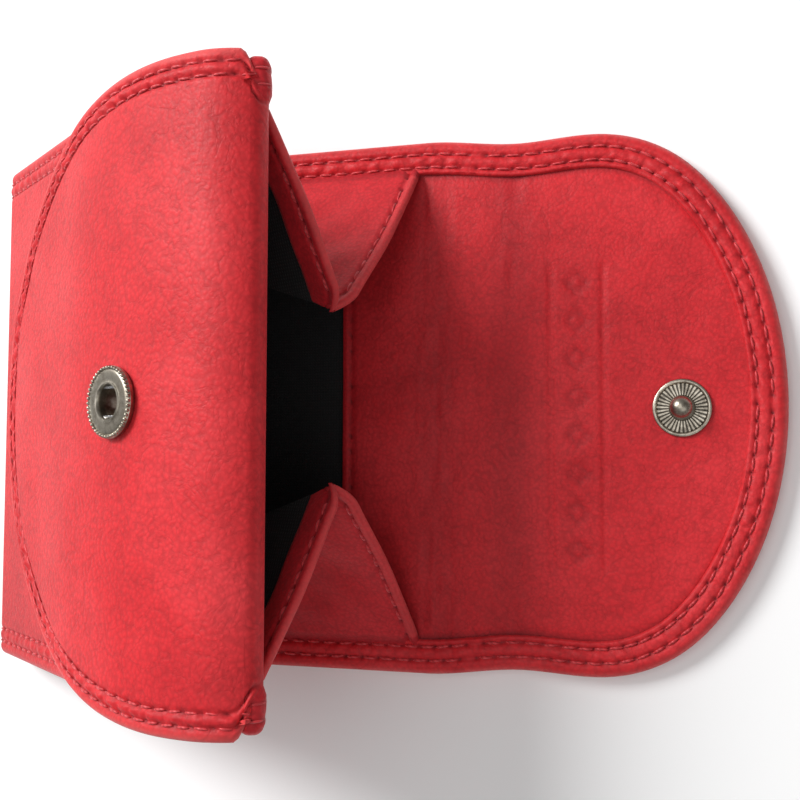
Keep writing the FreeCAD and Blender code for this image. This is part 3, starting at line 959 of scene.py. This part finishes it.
def gussetPoint(half, mirror, a, b):
    foot, mouth, crease, apex, normal = gussetFrame(half, mirror)
    a, b = np.broadcast_arrays(np.asarray(a, float), np.asarray(b, float))
    seamLine = foot + (mouth - foot) * a[..., None]
    creaseLine = crease + (apex - crease) * a[..., None]
    blown = gusset["bulge"] * np.sin(math.pi * np.clip(b, 0, 1)) * np.clip(a * 1.4, 0, 1)
    blown = blown + 0.22 * waves(a * 60, b * 24, 16.0, 51, 2) * np.clip(b * 5, 0, 1) * np.clip(
        (1 - b) * 5, 0, 1)
    side = 1.0 if half == "back" else -0.6
    return (seamLine * (1 - b[..., None]) + creaseLine * b[..., None]
            + normal * (side * blown)[..., None])


def gussetLeather(half, mirror, name):
    foot, mouth, _, apex, normal = gussetFrame(half, mirror)
    edgeLength = np.linalg.norm(apex - mouth)
    reach = np.linalg.norm(mouth - foot)
    ahead = unit(np.cross(unit(apex - mouth), normal))
    if ahead @ (mouth - foot) < 0:
        ahead = -ahead
    roll, hem = gusset["edgeRoll"], gusset["hem"]
    showsSeam = 1.0 if half == "front" else 0.0
    fromMouth = np.concatenate([np.linspace(reach * (1 - gusset["footShare"]), 8, 60)[:-1],
                                np.linspace(8, roll, 28)])
    flange = np.linspace(1, 0, 6)[:-1]
    b = np.linspace(0, 1, 56)
    rows, shades, wears = [], [], []
    rounding = 1.9 * np.clip((b - 0.86) / 0.14, 0, 1) ** 2
    for d in fromMouth:
        line = gussetPoint(half, mirror, 1 - d / reach, b)
        near = math.exp(-(d / 5) ** 2)
        pull = seamRelief(b * edgeLength, d, (gusset["seamInset"],))
        shades.append(paintedShade(b * edgeLength, d, (gusset["seamInset"],)))
        line = line + normal * (pull - 0.3)[:, None] - ahead * (rounding * near)[:, None]
        rows.append(line)
        wears.append(0 * b + 0.25 * math.exp(-((d - roll) / 0.5) ** 2))
    last = gussetPoint(half, mirror, 1 - roll / reach, b) - ahead * rounding[:, None]
    centre = last + normal * (roll - 0.3)
    for turn in np.linspace(0, math.pi, 9)[1:]:
        rows.append(centre + roll * (ahead * math.sin(turn) - normal * math.cos(turn)))
        shades.append(0 * b)
        wears.append(0 * b + 0.35 * math.sin(turn))
    for back in np.linspace(0, hem - roll, 24)[1:]:
        follow = gussetPoint(half, mirror, 1 - (roll + back) / reach, b)
        pull = seamRelief(b * edgeLength, roll + back, (gusset["seamInset"],)) * showsSeam
        press = 0.5 * np.clip((b - 0.85) / 0.15, 0, 1) ** 2 + 0.25 * math.exp(
            -((hem - roll - back) / 0.3) ** 2)
        near = math.exp(-((roll + back) / 5) ** 2)
        rows.append(follow + normal * (2 * roll - 0.3 - pull - press)[:, None]
                    - ahead * (rounding * near)[:, None])
        shades.append(paintedShade(b * edgeLength, roll + back, (gusset["seamInset"],)) * showsSeam)
        wears.append(0 * b)
    points = np.stack(rows)
    count = len(points)
    seamEdge = points[:, 0]
    if half == "back":
        away = np.array([0.0, 1.9 * mirror, -1.9])
        strips = [seamEdge + away * f for f in flange]
    else:
        along = np.linspace(0, wallLength, 300)
        inner = wallPoint(along, wall["wallDepth"] + 1.3)
        target = []
        for q in seamEdge:
            at = inner[int(np.argmin(np.hypot(inner[:, 0] - q[0], inner[:, 1] - q[2])))]
            target.append((at[0], q[1] + 0.9 * mirror, at[1]))
        target = np.array(target)
        strips = [seamEdge + (target - seamEdge) * f for f in flange]
    points = np.concatenate([np.stack(strips, axis=1), points], axis=1)
    pad = np.zeros((count, len(flange)))
    # painted shade on the flange where it tucks into the seam
    shade = np.concatenate([pad + 0.25, np.stack(shades)], axis=1)
    wear = np.concatenate([pad, np.stack(wears)], axis=1)
    piece = sheetMesh(name, points, {"paintedShade": shade, "wear": wear})
    weld(piece)
    return piece, normal


def facesAlong(piece, direction):
    # above zero where the sheet's faces mostly look along a direction
    total = Vector((0, 0, 0))
    for polygon in piece.data.polygons:
        total += polygon.normal * polygon.area
    return total.dot(Vector(direction))


def gussetLining(half, mirror, name):
    normal = gussetFrame(half, mirror)[-1]
    last = 1 - (gusset["hem"] - 1.4) / gusset["liningReach"]
    a = np.linspace(gusset["footShare"] + 0.02, last, 40)[:, None]
    b = np.linspace(0.03, 1.0, 24)[None, :]
    lift = normal * gusset["liningLift"]
    points = gussetPoint(half, mirror, a, b) + lift
    turned = np.zeros(points.shape)
    turned[:, -1] = np.array([0, -0.62 * mirror, 0]) - lift
    points = points + turned
    piece = sheetMesh(name, points)
    if facesAlong(piece, normal) < 0:
        piece.data.flip_normals()
    thicken(piece, gusset["lining"])
    cells = points[1:, :-1] - points[:-1, :-1]
    widths = points[:-1, 1:] - points[:-1, :-1]
    area = float(np.linalg.norm(np.cross(cells, widths), axis=2).sum())
    length = float(np.linalg.norm(points[-1, 12] - points[0, 12]))
    width = float(np.linalg.norm(points[-1, -1] - points[-1, 0]))
    return piece, (width * mm, length * mm), area * mm * mm


gussetPieces = []
for half in ("back", "front"):
    for word, mirror in (("Upper", 1), ("Lower", -1)):
        name = "gusset" + word + half.capitalize()
        leatherPiece, normal = gussetLeather(half, mirror, name)
        if facesAlong(leatherPiece, normal) > 0:
            leatherPiece.data.flip_normals()
        thicken(leatherPiece, gusset["leather"])
        paint(leatherPiece, gussetFinish)
        gussetPieces.append((leatherPiece, half, word, mirror))
print("gussets made")


# tabs where the gussets' turned edges are caught in the D panel's seam at the mouth

tab = {
    "centre": (-1.9, 37.0, 34.6),
    "size": (1.7, 3.1, 2.4),
    "lean": math.radians(-22),
    "stitchY": (36.2, 38.2),
}


def mouthTab(name, mirror):
    bpy.ops.object.select_all(action="DESELECT")
    bpy.ops.mesh.primitive_uv_sphere_add(segments=64, ring_count=40, radius=1.0)
    piece = bpy.context.object
    flat = np.zeros(len(piece.data.vertices) * 3)
    piece.data.vertices.foreach_get("co", flat)
    unitShape = flat.reshape(-1, 3)
    shape = np.sign(unitShape) * np.abs(unitShape) ** 0.72 * np.array(tab["size"])
    y = shape[:, 1]
    folds = 0.14 * waves(shape[:, 0] * 0.5, y, 2.6, 71)
    pinched = sum(0.16 * np.exp(-((y + tab["centre"][1] - at) / 0.3) ** 2) for at in tab["stitchY"])
    shape = shape * (1 + (folds - pinched)[:, None] / 2.6)
    lean = tab["lean"]
    x = shape[:, 0] * math.cos(lean) - shape[:, 2] * math.sin(lean)
    z = shape[:, 0] * math.sin(lean) + shape[:, 2] * math.cos(lean)
    placed = np.stack([x + tab["centre"][0], mirror * (y + tab["centre"][1]),
                       z + tab["centre"][2]], axis=1)
    piece.data.vertices.foreach_set("co", (placed * mm).ravel())
    # painted shade along the pinched stitch lines
    layer = piece.data.attributes.new("paintedShade", "FLOAT", "POINT")
    layer.data.foreach_set("value", np.clip(pinched * 2.4, 0, 0.5).astype(np.float32))
    piece.data.update()
    return paint(finished(piece, name, 60), gussetFinish)


mouthTabs = [mouthTab("mouthTabUpper", 1), mouthTab("mouthTabLower", -1)]
print("mouth tabs made")


# pocket lining, on the back and on the front wall

lining = {
    "backHalf": 34.0,
    "frontHalf": 33.6,
    "backHeight": 2.05,
    "frontUnder": 1.55,    # under the strip's outer face
    "footGap": 3.0,
    "mouthGap": 3.5,
    "thickness": 0.25,
}


def backLiningPoints():
    x = np.linspace(strip["foldX"] + 1.2, facing["startX"] + 0.4, 70)[:, None]
    y = np.linspace(lining["backHalf"], -lining["backHalf"], 90)[None, :]
    z = lining["backHeight"] + 0.12 * waves(x, y, 19.0, 61, 2) * np.clip((x + 54) / 8, 0, 1)
    x, y = np.broadcast_arrays(x, y)
    return np.stack([x, y, z], axis=2)


def frontLiningPoints():
    along = np.linspace(lining["footGap"], wallLength - lining["mouthGap"], 80)[:, None]
    y = np.linspace(lining["frontHalf"], -lining["frontHalf"], 90)[None, :]
    depth = wall["wallDepth"] + lining["frontUnder"] + 0.1 * waves(along, y, 21.0, 62, 2)
    along, y = np.broadcast_arrays(along, y)
    xz = wallPoint(along, depth)
    return np.stack([xz[..., 0], y, xz[..., 1]], axis=2)


linings = {}
for name, points, facesUp in (("backLining", backLiningPoints(), 1),
                              ("frontLining", frontLiningPoints(), -1)):
    piece = sheetMesh(name, points)
    if facesAlong(piece, (0, 0, facesUp)) < 0:
        piece.data.flip_normals()
    if name == "frontLining":
        openHole(piece, snap["liningHole"])
    thicken(piece, lining["thickness"])
    linings[name] = paint(piece, liningCloth)
print("linings made")


# stitches: one thread shape, copied along each row of needle holes

def oneStitch():
    bpy.ops.object.select_all(action="DESELECT")
    bpy.ops.mesh.primitive_uv_sphere_add(segments=8, ring_count=7, radius=1.0)
    base = bpy.context.object
    bpy.ops.object.mode_set(mode="EDIT")
    bpy.ops.mesh.select_all(action="SELECT")
    bpy.ops.transform.rotate(value=math.pi / 2, orient_axis="Y", center_override=(0, 0, 0))
    bpy.ops.object.mode_set(mode="OBJECT")
    shape = np.array([v.co for v in base.data.vertices])
    faces = [tuple(p.vertices) for p in base.data.polygons]
    bpy.data.objects.remove(base)
    ends = np.sign(shape[:, 0]) * np.abs(shape[:, 0]) ** 0.8
    half = seam["pitch"] * seam["threadShare"] / 2
    radius = seam["threadRadius"]
    shape = np.stack([ends * half, shape[:, 1] * radius,
                      shape[:, 2] * radius + 0.16 * (1 - shape[:, 0] ** 2) - 0.16], axis=1)
    return shape, faces


stitchShape, stitchFaces = oneStitch()


def stitchRow(path, outward, s, row):
    # path and outward normals in mm against s, the distance that the needle holes are counted by
    order = np.argsort(s)
    s, path, outward = s[order], path[order], outward[order]
    pitch = seam["pitch"]
    first = math.ceil((s[0] + 0.45 * pitch) / pitch + 0.5 * row - 0.5)
    last = math.floor((s[-1] - 0.45 * pitch) / pitch + 0.5 * row - 0.5)
    found = []
    for k in range(first, last + 1):
        centre = (k + 0.5 - 0.5 * row) * pitch
        at, before, after = ([np.interp(centre + step, s, path[:, i]) for i in range(3)]
                             for step in (0, -0.4 * pitch, 0.4 * pitch))
        tangent = unit(np.array(after) - np.array(before))
        up = np.array([np.interp(centre, s, outward[:, i]) for i in range(3)])
        up = unit(up - tangent * (up @ tangent))
        across = np.cross(up, tangent)
        slant = 0.10 * math.sin(7.3 * k)
        tangent = unit(tangent + across * slant)
        across = np.cross(up, tangent)
        turned = (stitchShape[:, :1] * tangent + stitchShape[:, 1:2] * across
                  + stitchShape[:, 2:] * up)
        found.append(np.array(at) + turned)
    return found


def stitchPiece(name, stitches):
    count = len(stitchShape)
    vertices = np.concatenate(stitches) * mm
    faces = [tuple(i + count * k for i in face) for k in range(len(stitches))
             for face in stitchFaces]
    mesh = bpy.data.meshes.new(name)
    mesh.from_pydata(vertices.tolist(), [], faces)
    piece = bpy.data.objects.new(name, mesh)
    bpy.context.scene.collection.objects.link(piece)
    onlySelect(piece)
    bpy.ops.object.shade_smooth()
    return paint(piece, thread)


def stripRows(first, last):
    p, t = outlinePoints[first:last + 1], outlineTangents[first:last + 1]
    inward = inwardOf(t)
    found = []
    for row, inset in enumerate(strip["seamInsets"]):
        xy = p + inward * inset
        for mirror in (1, -1):
            s = outlineLength[first:last + 1]
            s = s if mirror == 1 else 2 * wholeLength - s
            for height, up in ((strip["edgeHeight"] - 0.02, 1.0), (0.24, -1.0)):
                path = np.stack([xy[:, 0], mirror * xy[:, 1], np.full(len(xy), height)], axis=1)
                found += stitchRow(path, np.tile([0, 0, up], (len(xy), 1)), s, row)
    return found


def foldRows():
    foldEnd = strip["foldX"] - strip["foldRadius"] * strip["foldTurn"]
    a = np.arange(strip["splitX"], foldEnd - wallLength + 2, -0.3)
    face, under = stripPoint(a, 0 * a + 0.1), stripPoint(a, 0 * a + 1.1)
    out = (face - under) / np.linalg.norm(face - under, axis=1)[:, None]
    found = []
    for row, inset in enumerate(strip["seamInsets"]):
        for mirror in (1, -1):
            s = a - strip["splitX"] if mirror == 1 else 2 * wholeLength - (a - strip["splitX"])
            y = np.full(len(a), mirror * (strip["halfWidth"] - inset))
            path = np.stack([face[:, 0], y, face[:, 1]], axis=1)
            found += stitchRow(path, np.stack([out[:, 0], 0 * a, out[:, 1]], axis=1), s, row)
    return found


def panelRows():
    curve, tangent = splineThrough(panel["outline"], (0, 1), (1, 0), 0.4)
    s = np.concatenate([[0.0], np.cumsum(np.linalg.norm(np.diff(curve, axis=0), axis=1))])
    inward = inwardOf(tangent)
    found = []
    for row, inset in enumerate(panel["seamInsets"]):
        base = curve + inward * inset
        more = np.arange(base[-1, 0] + 0.3, panelAlong(0)[1] - 1.3, 0.4)
        along = panelAlong(np.concatenate([base[:, 0], more]))[0]
        y = np.concatenate([base[:, 1], np.full(len(more), base[-1, 1])])
        run = np.concatenate([s, s[-1] + more - base[-1, 0]])
        face, under = mouthPoint(along, 0 * along + 0.04), mouthPoint(along, 0 * along + 1.0)
        out = (face - under) / np.linalg.norm(face - under, axis=1)[:, None]
        for mirror in (1, -1):
            path = np.stack([face[:, 0], mirror * y, face[:, 1]], axis=1)
            normals = np.stack([out[:, 0], 0 * y, out[:, 1]], axis=1)
            found += stitchRow(path, normals, mirror * run, row)
    return found


def gussetRows(half, mirror):
    foot, mouth, _, apex, normal = gussetFrame(half, mirror)
    edgeLength, reach = np.linalg.norm(apex - mouth), np.linalg.norm(mouth - foot)
    b = np.linspace(0.03, 0.93, 40)
    line = gussetPoint(half, mirror, 1 - gusset["seamInset"] / reach, b)
    found = stitchRow(line - normal * 0.2, np.tile(-normal, (len(b), 1)), b * edgeLength, 0)
    if half == "front":
        inside = b > 0.17
        found += stitchRow((line + normal * 0.84)[inside], np.tile(normal, (inside.sum(), 1)),
                           (b * edgeLength)[inside], 0)
    return found


def tabRows(mirror):
    lean, (centreX, _, centreZ) = tab["lean"], tab["centre"]
    across = np.linspace(-1.9, 2.0, 30)
    bow = tab["size"][2] * 0.93 * (1 - np.abs(across / 2.3) ** 3)
    x = across * math.cos(lean) - bow * math.sin(lean) + centreX
    z = across * math.sin(lean) + bow * math.cos(lean) + centreZ
    up = np.tile([-math.sin(lean) + 0.2, 0, math.cos(lean)], (len(x), 1))
    found = []
    for row, y in enumerate(tab["stitchY"]):
        path = np.stack([x, np.full(len(x), mirror * y), z], axis=1)
        found += stitchRow(path, up, (across + 2.0) * 1.25 + 0.4 * row, 0)
    return found


backStitches = stitchPiece("backStitches", stripRows(0, spineRow))
flapStitches = stitchPiece("flapStitches", stripRows(spineRow, lastRow))
foldStitches = stitchPiece("foldStitches", foldRows())
panelStitches = stitchPiece("panelStitches", panelRows() + tabRows(1) + tabRows(-1))
gussetStitchPieces = [(stitchPiece("gusset" + word + half.capitalize() + "Stitches",
                                   gussetRows(half, mirror)), half, word)
                      for _, half, word, mirror in gussetPieces]
print("stitches made")


# snap fastener

def ringProfile(name, profile, steps):
    # a circle extruded and scaled from one (radius, height) to the next; radius 0 closes it
    bpy.ops.object.select_all(action="DESELECT")
    radius, height = profile[0]
    bpy.ops.mesh.primitive_circle_add(vertices=steps, radius=radius * mm,
                                      location=(0, 0, height * mm))
    piece = bpy.context.object
    bpy.ops.object.transform_apply(location=True, rotation=True, scale=True)
    bpy.ops.object.mode_set(mode="EDIT")
    bpy.ops.mesh.select_all(action="SELECT")
    for nextRadius, nextHeight in profile[1:]:
        lift = (0, 0, (nextHeight - height) * mm)
        bpy.ops.mesh.extrude_edges_move(TRANSFORM_OT_translate={"value": lift})
        if nextRadius == 0:
            bpy.ops.mesh.merge(type="CENTER")
        else:
            grow = nextRadius / radius
            bpy.ops.transform.resize(value=(grow, grow, 1), center_override=(0, 0, nextHeight * mm))
        radius, height = nextRadius, nextHeight
    bpy.ops.mesh.select_all(action="SELECT")
    bpy.ops.mesh.remove_doubles(threshold=0.000004)
    bpy.ops.mesh.fill_holes(sides=0)
    bpy.ops.object.mode_set(mode="OBJECT")
    piece.name = name
    return piece


def pressFaces(piece, inner, outer, chosen, steps, drop):
    # pushes in some of the faces of one ring, picked by their place round the axis
    onlySelect(piece)
    for polygon in piece.data.polygons:
        x, y, _ = polygon.center / mm
        place = int((math.atan2(y, x) / (2 * math.pi) % 1.0) * steps)
        polygon.select = bool(inner < math.hypot(x, y) < outer and polygon.normal.z > 0.6
                              and chosen(place))
    for item in list(piece.data.edges) + list(piece.data.vertices):
        item.select = False
    bpy.context.tool_settings.mesh_select_mode = (False, False, True)
    bpy.ops.object.mode_set(mode="EDIT")
    bpy.ops.mesh.inset(thickness=0.05 * mm, depth=-drop * mm, use_individual=False)
    bpy.ops.object.mode_set(mode="OBJECT")
    hollow = piece.data.attributes.get("hollow") or piece.data.attributes.new(
        "hollow", "FLOAT", "POINT")
    for polygon in piece.data.polygons:
        if polygon.select:
            for vertex in polygon.vertices:
                hollow.data[vertex].value = 0.85
    bpy.context.tool_settings.mesh_select_mode = (True, False, False)


def beadRing(count, radius, height, size, stretch=1.0):
    # a ring of small raised beads, one modelled and the rest copied round
    bpy.ops.object.select_all(action="DESELECT")
    bpy.ops.mesh.primitive_ico_sphere_add(subdivisions=2, radius=size * mm,
                                          location=(radius * mm, 0, height * mm))
    first = bpy.context.object
    bpy.ops.object.mode_set(mode="EDIT")
    bpy.ops.mesh.select_all(action="SELECT")
    bpy.ops.transform.resize(value=(1, 1, stretch), center_override=(radius * mm, 0, height * mm))
    bpy.ops.object.mode_set(mode="OBJECT")
    beads = [first]
    for k in range(1, count):
        bead = first.copy()
        bead.data = first.data.copy()
        bpy.context.scene.collection.objects.link(bead)
        bead.matrix_world = Matrix.Rotation(2 * math.pi * k / count, 4, "Z") @ first.matrix_world
        beads.append(bead)
    return joined(beads, "beads")


def studProfile():
    ball, ballZ = 1.5, 2.4
    angles = np.linspace(-0.75, math.pi / 2, 12)
    ballRing = [(ball * math.cos(t), ballZ + ball * math.sin(t)) for t in angles[:-1]]
    return ([(0.9, 0.05), (3.6, 0.0), (3.82, 0.1), (3.88, 0.28), (3.8, 0.44), (3.62, 0.52),
             (3.44, 0.5), (3.32, 0.4), (3.25, 0.3), (2.5, 0.26), (1.75, 0.3), (1.6, 0.5),
             (1.42, 0.66), (1.2, 0.75), (1.08, 0.95), (1.04, 1.2)] + ballRing + [(0, ballZ + ball)])


def buildStud():
    steps = snap["ribs"] * 4
    piece = ringProfile("snapStudDisc", studProfile(), steps)
    pressFaces(piece, 1.8, 3.2, lambda place: place % 4 < 2, steps, 0.14)
    piece.location = (snap["studX"] * mm, snap["y"] * mm, snap["studSeat"] * mm)
    return paint(finished(piece, "snapStudBall", 35), nickel)


def buildSocket():
    steps = 168
    profile = [(2.12, -0.4), (2.12, 0.85), (2.2, 1.16), (2.34, 1.3), (2.5, 1.28), (2.58, 1.18),
               (2.66, 1.16), (2.94, 1.16), (3.1, 1.17), (3.7, 1.15), (3.95, 1.12), (4.1, 1.04),
               (4.42, 1.0), (4.55, 0.82), (4.5, 0.4), (4.3, 0.1), (4.0, 0.0), (2.3, 0.0),
               (2.12, -0.4)]
    ring = ringProfile("socketRing", profile, steps)
    pressFaces(ring, 2.68, 2.92, lambda place: place % 6 < 2, steps, 0.12)
    pressFaces(ring, 3.12, 3.68, lambda place: place % 12 in (2, 3), steps, 0.1)
    beads = beadRing(snap["beads"], 4.3, 1.02, 0.25, 1.15)
    socket = joined([ring, beads], "snapSocketRing")
    slope = wall["rise"] - (snap["along"] - wall["straight"]) / wall["bowRadius"]
    at = wallPoint(snap["along"], 0)
    socket.matrix_world = (Matrix.Translation((at[0] * mm, snap["y"] * mm, at[1] * mm))
                           @ Matrix.Rotation(-slope, 4, "Y"))
    return paint(finished(socket, "snapSocketRing", 35), nickel)


def buildCap():
    profile = [(1.0, 0.8), (4.1, 0.78), (4.36, 0.6), (4.4, 0.34), (4.22, 0.1), (3.9, 0.02),
               (3.3, 0.0), (3.2, 0.08), (3.0, 0.08), (2.9, 0.0), (0.6, 0.0), (0, 0.0)]
    piece = ringProfile("capDisc", profile, 96)
    piece.location = (snap["studX"] * mm, snap["y"] * mm, 0)
    return paint(finished(piece, "snapRivetCap", 35), nickel)


snapStud, snapSocket, snapCap = buildStud(), buildSocket(), buildCap()
print("snap made")


# finishes on the frame's own pieces that stay

keptFinishes = {
    "back_board": boardFinish, "flap_board": boardFinish,
    "spine_interlining": interliningCloth, "snap_eyelet": nickel,
    "snap_wire_upper": springSteel, "snap_wire_lower": springSteel,
}
for nodeName, finish in keptFinishes.items():
    paint(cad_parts[nodeName], finish)


# what moves with what: some pieces are parented to a body, the others keep their place, baked into
# the mesh

def bendBetween(piece):
    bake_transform(piece)


for piece in (backCover, backFacing, backStitches):
    bendBetween(piece)
for piece in (flapCover, flapFacing, flapStitches):
    bendBetween(piece)
for piece in (foldCover, foldStitches):
    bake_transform(piece)
for piece, half, word, mirror in gussetPieces:
    foot, mouth, crease, apex, _ = gussetFrame(half, mirror)
    middle = (foot + mouth) / 2
    lineDirection = unit(mouth - foot)
    toCrease = (crease + apex) / 2 - middle
    toCrease = unit(toCrease - lineDirection * (toCrease @ lineDirection))
    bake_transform(piece)
for piece, half, word in gussetStitchPieces:
    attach(piece, gussetNode(half, word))
for piece in (frontPanel, frontBoard, panelStitches, snapSocket, linings["frontLining"]):
    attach(piece, "front")
for piece in (snapStud, snapCap):
    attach(piece, "flap")
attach(linings["backLining"], "back")

for half in ("back", "front"):
    for word, mirror in (("Upper", 1), ("Lower", -1)):
        name = "gusset" + word + half.capitalize() + "Lining"
        piece, flatSize, area = gussetLining(half, mirror, name)
        paint(piece, liningCloth)
        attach(piece, gussetNode(half, word))

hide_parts("back_leather", "back_hem_upper", "back_hem_lower", "spine_leather",
            "spine_hem_upper", "spine_hem_lower")
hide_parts("flap_leather", "flap_hem", "spine_leather", "spine_hem_upper",
            "spine_hem_lower")
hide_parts("front_wall", "back_leather")
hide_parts("back_facing", "spine_facing")
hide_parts("flap_facing", "spine_facing")
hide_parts("back_seams", "spine_seams")
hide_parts("flap_seams", "spine_seams")
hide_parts("front_panel")
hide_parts("front_board")
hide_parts("front_seams")
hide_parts("back_lining")
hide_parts("front_lining")
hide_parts("snap_stud")
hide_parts("snap_socket")
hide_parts("snap_cap")
for piece, half, word, _ in gussetPieces:
    node = gussetNode(half, word)
    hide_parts(node + "_leather", node + "_hem")
for piece, half, word in gussetStitchPieces:
    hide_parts(gussetNode(half, word) + "_seam")
for piece in mouthTabs:
    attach(piece, "front")


# floor, light and camera

def addFloor():
    bpy.ops.object.select_all(action="DESELECT")
    bpy.ops.mesh.primitive_plane_add(size=6.0, location=(0, 0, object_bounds()[0][2] - 0.00002))
    floor = bpy.context.object
    floor.name = "floor"
    material, tree, shader, place = newMaterial("Matt white paper", {
        "Base Color": colour("#f8f8f8"), "Roughness": 0.9, "IOR": 1.3})
    grain = addNode(tree, "ShaderNodeTexNoise", {"Scale": 2500.0, "Detail": 2.0},
                    {"Vector": place}).outputs["Fac"]
    bump = addNode(tree, "ShaderNodeBump", {"Strength": 0.1, "Distance": 0.00002},
                   {"Height": grain})
    tree.links.new(bump.outputs["Normal"], shader.inputs["Normal"])
    paint(floor, material)


def addLight(name, place, power, size):
    lamp = bpy.data.lights.new(name, "AREA")
    lamp.shape = "DISK"
    lamp.size = size
    lamp.energy = power
    holder = bpy.data.objects.new(name, lamp)
    bpy.context.scene.collection.objects.link(holder)
    holder.location = place
    holder.rotation_mode = "QUATERNION"
    holder.rotation_quaternion = (-Vector(place)).to_track_quat("-Z", "Y")


def addCamera():
    turnX, turnY, turnZ = -0.064, 0.300, 0.002
    cx, sx, cy, sy = math.cos(turnX), math.sin(turnX), math.cos(turnY), math.sin(turnY)
    cz, sz = math.cos(turnZ), math.sin(turnZ)
    rx = np.array([[1, 0, 0], [0, cx, -sx], [0, sx, cx]])
    ry = np.array([[cy, 0, sy], [0, 1, 0], [-sy, 0, cy]])
    rz = np.array([[cz, -sz, 0], [sz, cz, 0], [0, 0, 1]])
    looks = rz @ rx @ ry @ np.diag([1.0, -1.0, -1.0])
    camera = bpy.data.objects.new("camera", bpy.data.cameras.new("camera"))
    bpy.context.scene.collection.objects.link(camera)
    camera.data.lens = 50.71
    camera.data.sensor_width = 36.0
    camera.data.clip_start = 0.005
    turned = np.stack([looks[0], -looks[1], -looks[2]], axis=1)
    camera.matrix_world = (Matrix.Translation((0.0538, -0.0097, 0.1566))
                           @ Matrix(turned.tolist()).to_4x4())
    bpy.context.scene.camera = camera


addFloor()
addLight("key", (-0.42, 0.31, 0.42), 5.2, 0.30)
addLight("fill", (0.30, -0.30, 0.55), 0.7, 0.6)
addLight("top", (-0.10, 0.05, 0.75), 1.3, 0.6)
world = bpy.data.worlds.new("studio")
bpy.context.scene.world = world
world.use_nodes = True
world.node_tree.nodes["Background"].inputs["Color"].default_value = (1, 1, 1, 1)
world.node_tree.nodes["Background"].inputs["Strength"].default_value = 0.22
bpy.context.scene.view_settings.view_transform = "Standard"
addCamera()
print("floor, light and camera set")
